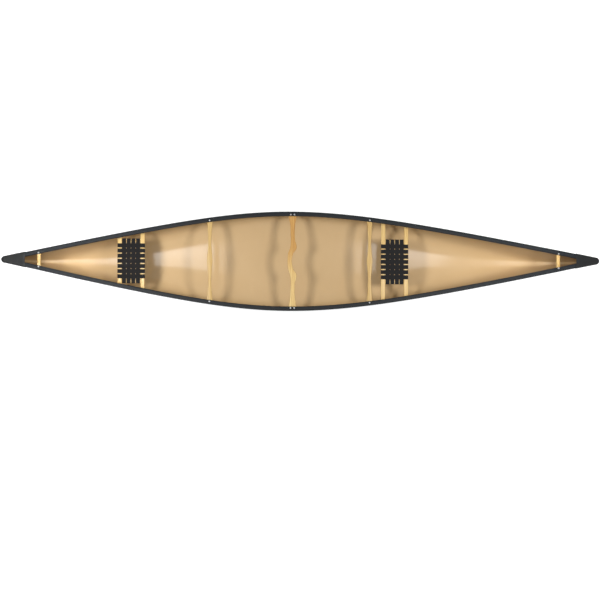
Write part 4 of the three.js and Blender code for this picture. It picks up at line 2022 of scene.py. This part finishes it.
@dataclass(frozen=True)
class Studio:
    """Floor, soft lights, walls and camera."""

    camera_place: tuple[float, float, float] = (0.006, -0.345, 8.0)
    camera_roll: float = 0.0035
    lens: float = 51.5
    sensor: float = 36.0
    floor_size: float = 60.0
    wall_colour: str = "f7f8fa"
    wall_light: float = 0.4
    wall_seen: float = 1.0  # brightness of the walls behind the canoe

    def soft_boxes(self) -> list[SoftBox]:
        """List the lights.

        Returns:
            Two strips that only gloss shows, two keys, a box over each end and four low boxes.
        """
        strip_y, strip_z = -0.32, 3.2
        boxes = [
            SoftBox(name, (x, strip_y, strip_z), (length, 1.06), power, (x, strip_y, 0), diffuse=False)
            for name, x, length, power in (
                ("bow_soft_box", 1.25, 1.0, 20),
                ("stern_soft_box", -1.63, 1.3, 28),
            )
        ]
        for end, sign, key_power, end_power in (("bow", 1, 306, 10), ("stern", -1, 300, 15.5)):
            far, over = (3.4 * sign, 0, 6.0), (2.6 * sign, 0, 3.2)
            middle, tip = (0.6 * sign, 0, 0), (2.4 * sign, 0, 0)
            boxes += [
                SoftBox(f"{end}_key", far, (1.2, 1.2), key_power, middle, glossy=False),
                SoftBox(f"{end}_end_box", over, (0.7, 0.7), end_power, tip, 70, glossy=False),
            ]
            for side_name, side in SIDES.items():
                name, low = f"{end}_{side_name}_low_box", (1.9 * sign, 5.0 * side, 1.1)
                boxes.append(SoftBox(name, low, (1.5, 0.5), 12, (1.14 * sign, 0, 0.25)))
        return boxes

    def build_floor(self) -> None:
        """Lay a plain pale floor."""
        mesh = bmesh.new()
        bmesh.ops.create_grid(mesh, x_segments=4, y_segments=4, size=self.floor_size / 2)
        data = bpy.data.meshes.new("studio_floor")
        mesh.to_mesh(data)
        mesh.free()
        data.materials.append(BackdropPaper("seamless_backdrop_paper").material())
        floor = bpy.data.objects.new("studio_floor", data)
        bpy.context.scene.collection.objects.link(floor)

    def build_walls(self) -> None:
        """Make a pale world that lights the canoe less than it shows behind it."""
        world = bpy.data.worlds.new("studio_world")
        world.use_nodes = True
        tree = world.node_tree
        tree.nodes.clear()
        colour = linear(self.wall_colour)
        walls, backdrop = (
            add_node(tree, "ShaderNodeBackground", inputs={0: colour, 1: strength}).outputs[0]
            for strength in (self.wall_light, self.wall_seen)
        )
        seen = add_node(tree, "ShaderNodeLightPath").outputs["Is Camera Ray"]
        both = add_node(tree, "ShaderNodeMixShader", inputs={0: seen, 1: walls, 2: backdrop})
        add_node(tree, "ShaderNodeOutputWorld", inputs={0: both.outputs[0]})
        bpy.context.scene.world = world

    def build_camera(self) -> None:
        """Hang the camera over the canoe, looking straight down."""
        data = bpy.data.cameras.new("studio_camera")
        data.lens = self.lens
        data.sensor_width = self.sensor
        camera = bpy.data.objects.new("studio_camera", data)
        camera.location = self.camera_place
        camera.rotation_euler = (0, 0, self.camera_roll)
        scene = bpy.context.scene
        scene.collection.objects.link(camera)
        scene.camera = camera
        scene.view_settings.view_transform = "Standard"

    def build(self) -> None:
        """Set up floor, lights, walls and camera."""
        self.build_floor()
        for box in self.soft_boxes():
            box.build()
        self.build_walls()
        self.build_camera()


def main() -> None:
    """Build the canoe, sub-assembly by sub-assembly, and its studio."""
    logging.basicConfig(level=logging.INFO, format="%(name)s: %(message)s")
    lines = HullLines()
    assemblies = (
        Studio(),
        Hull(lines),
        Gunwales(lines),
        DeckCaps(lines),
        CrossPieces(lines),
        Seats(),
        Decals(),
    )
    for assembly in assemblies:
        LOG.info("building %s", type(assembly).__name__)
        assembly.build()
    bpy.context.view_layer.update()


if __name__ == "__main__":
    main()
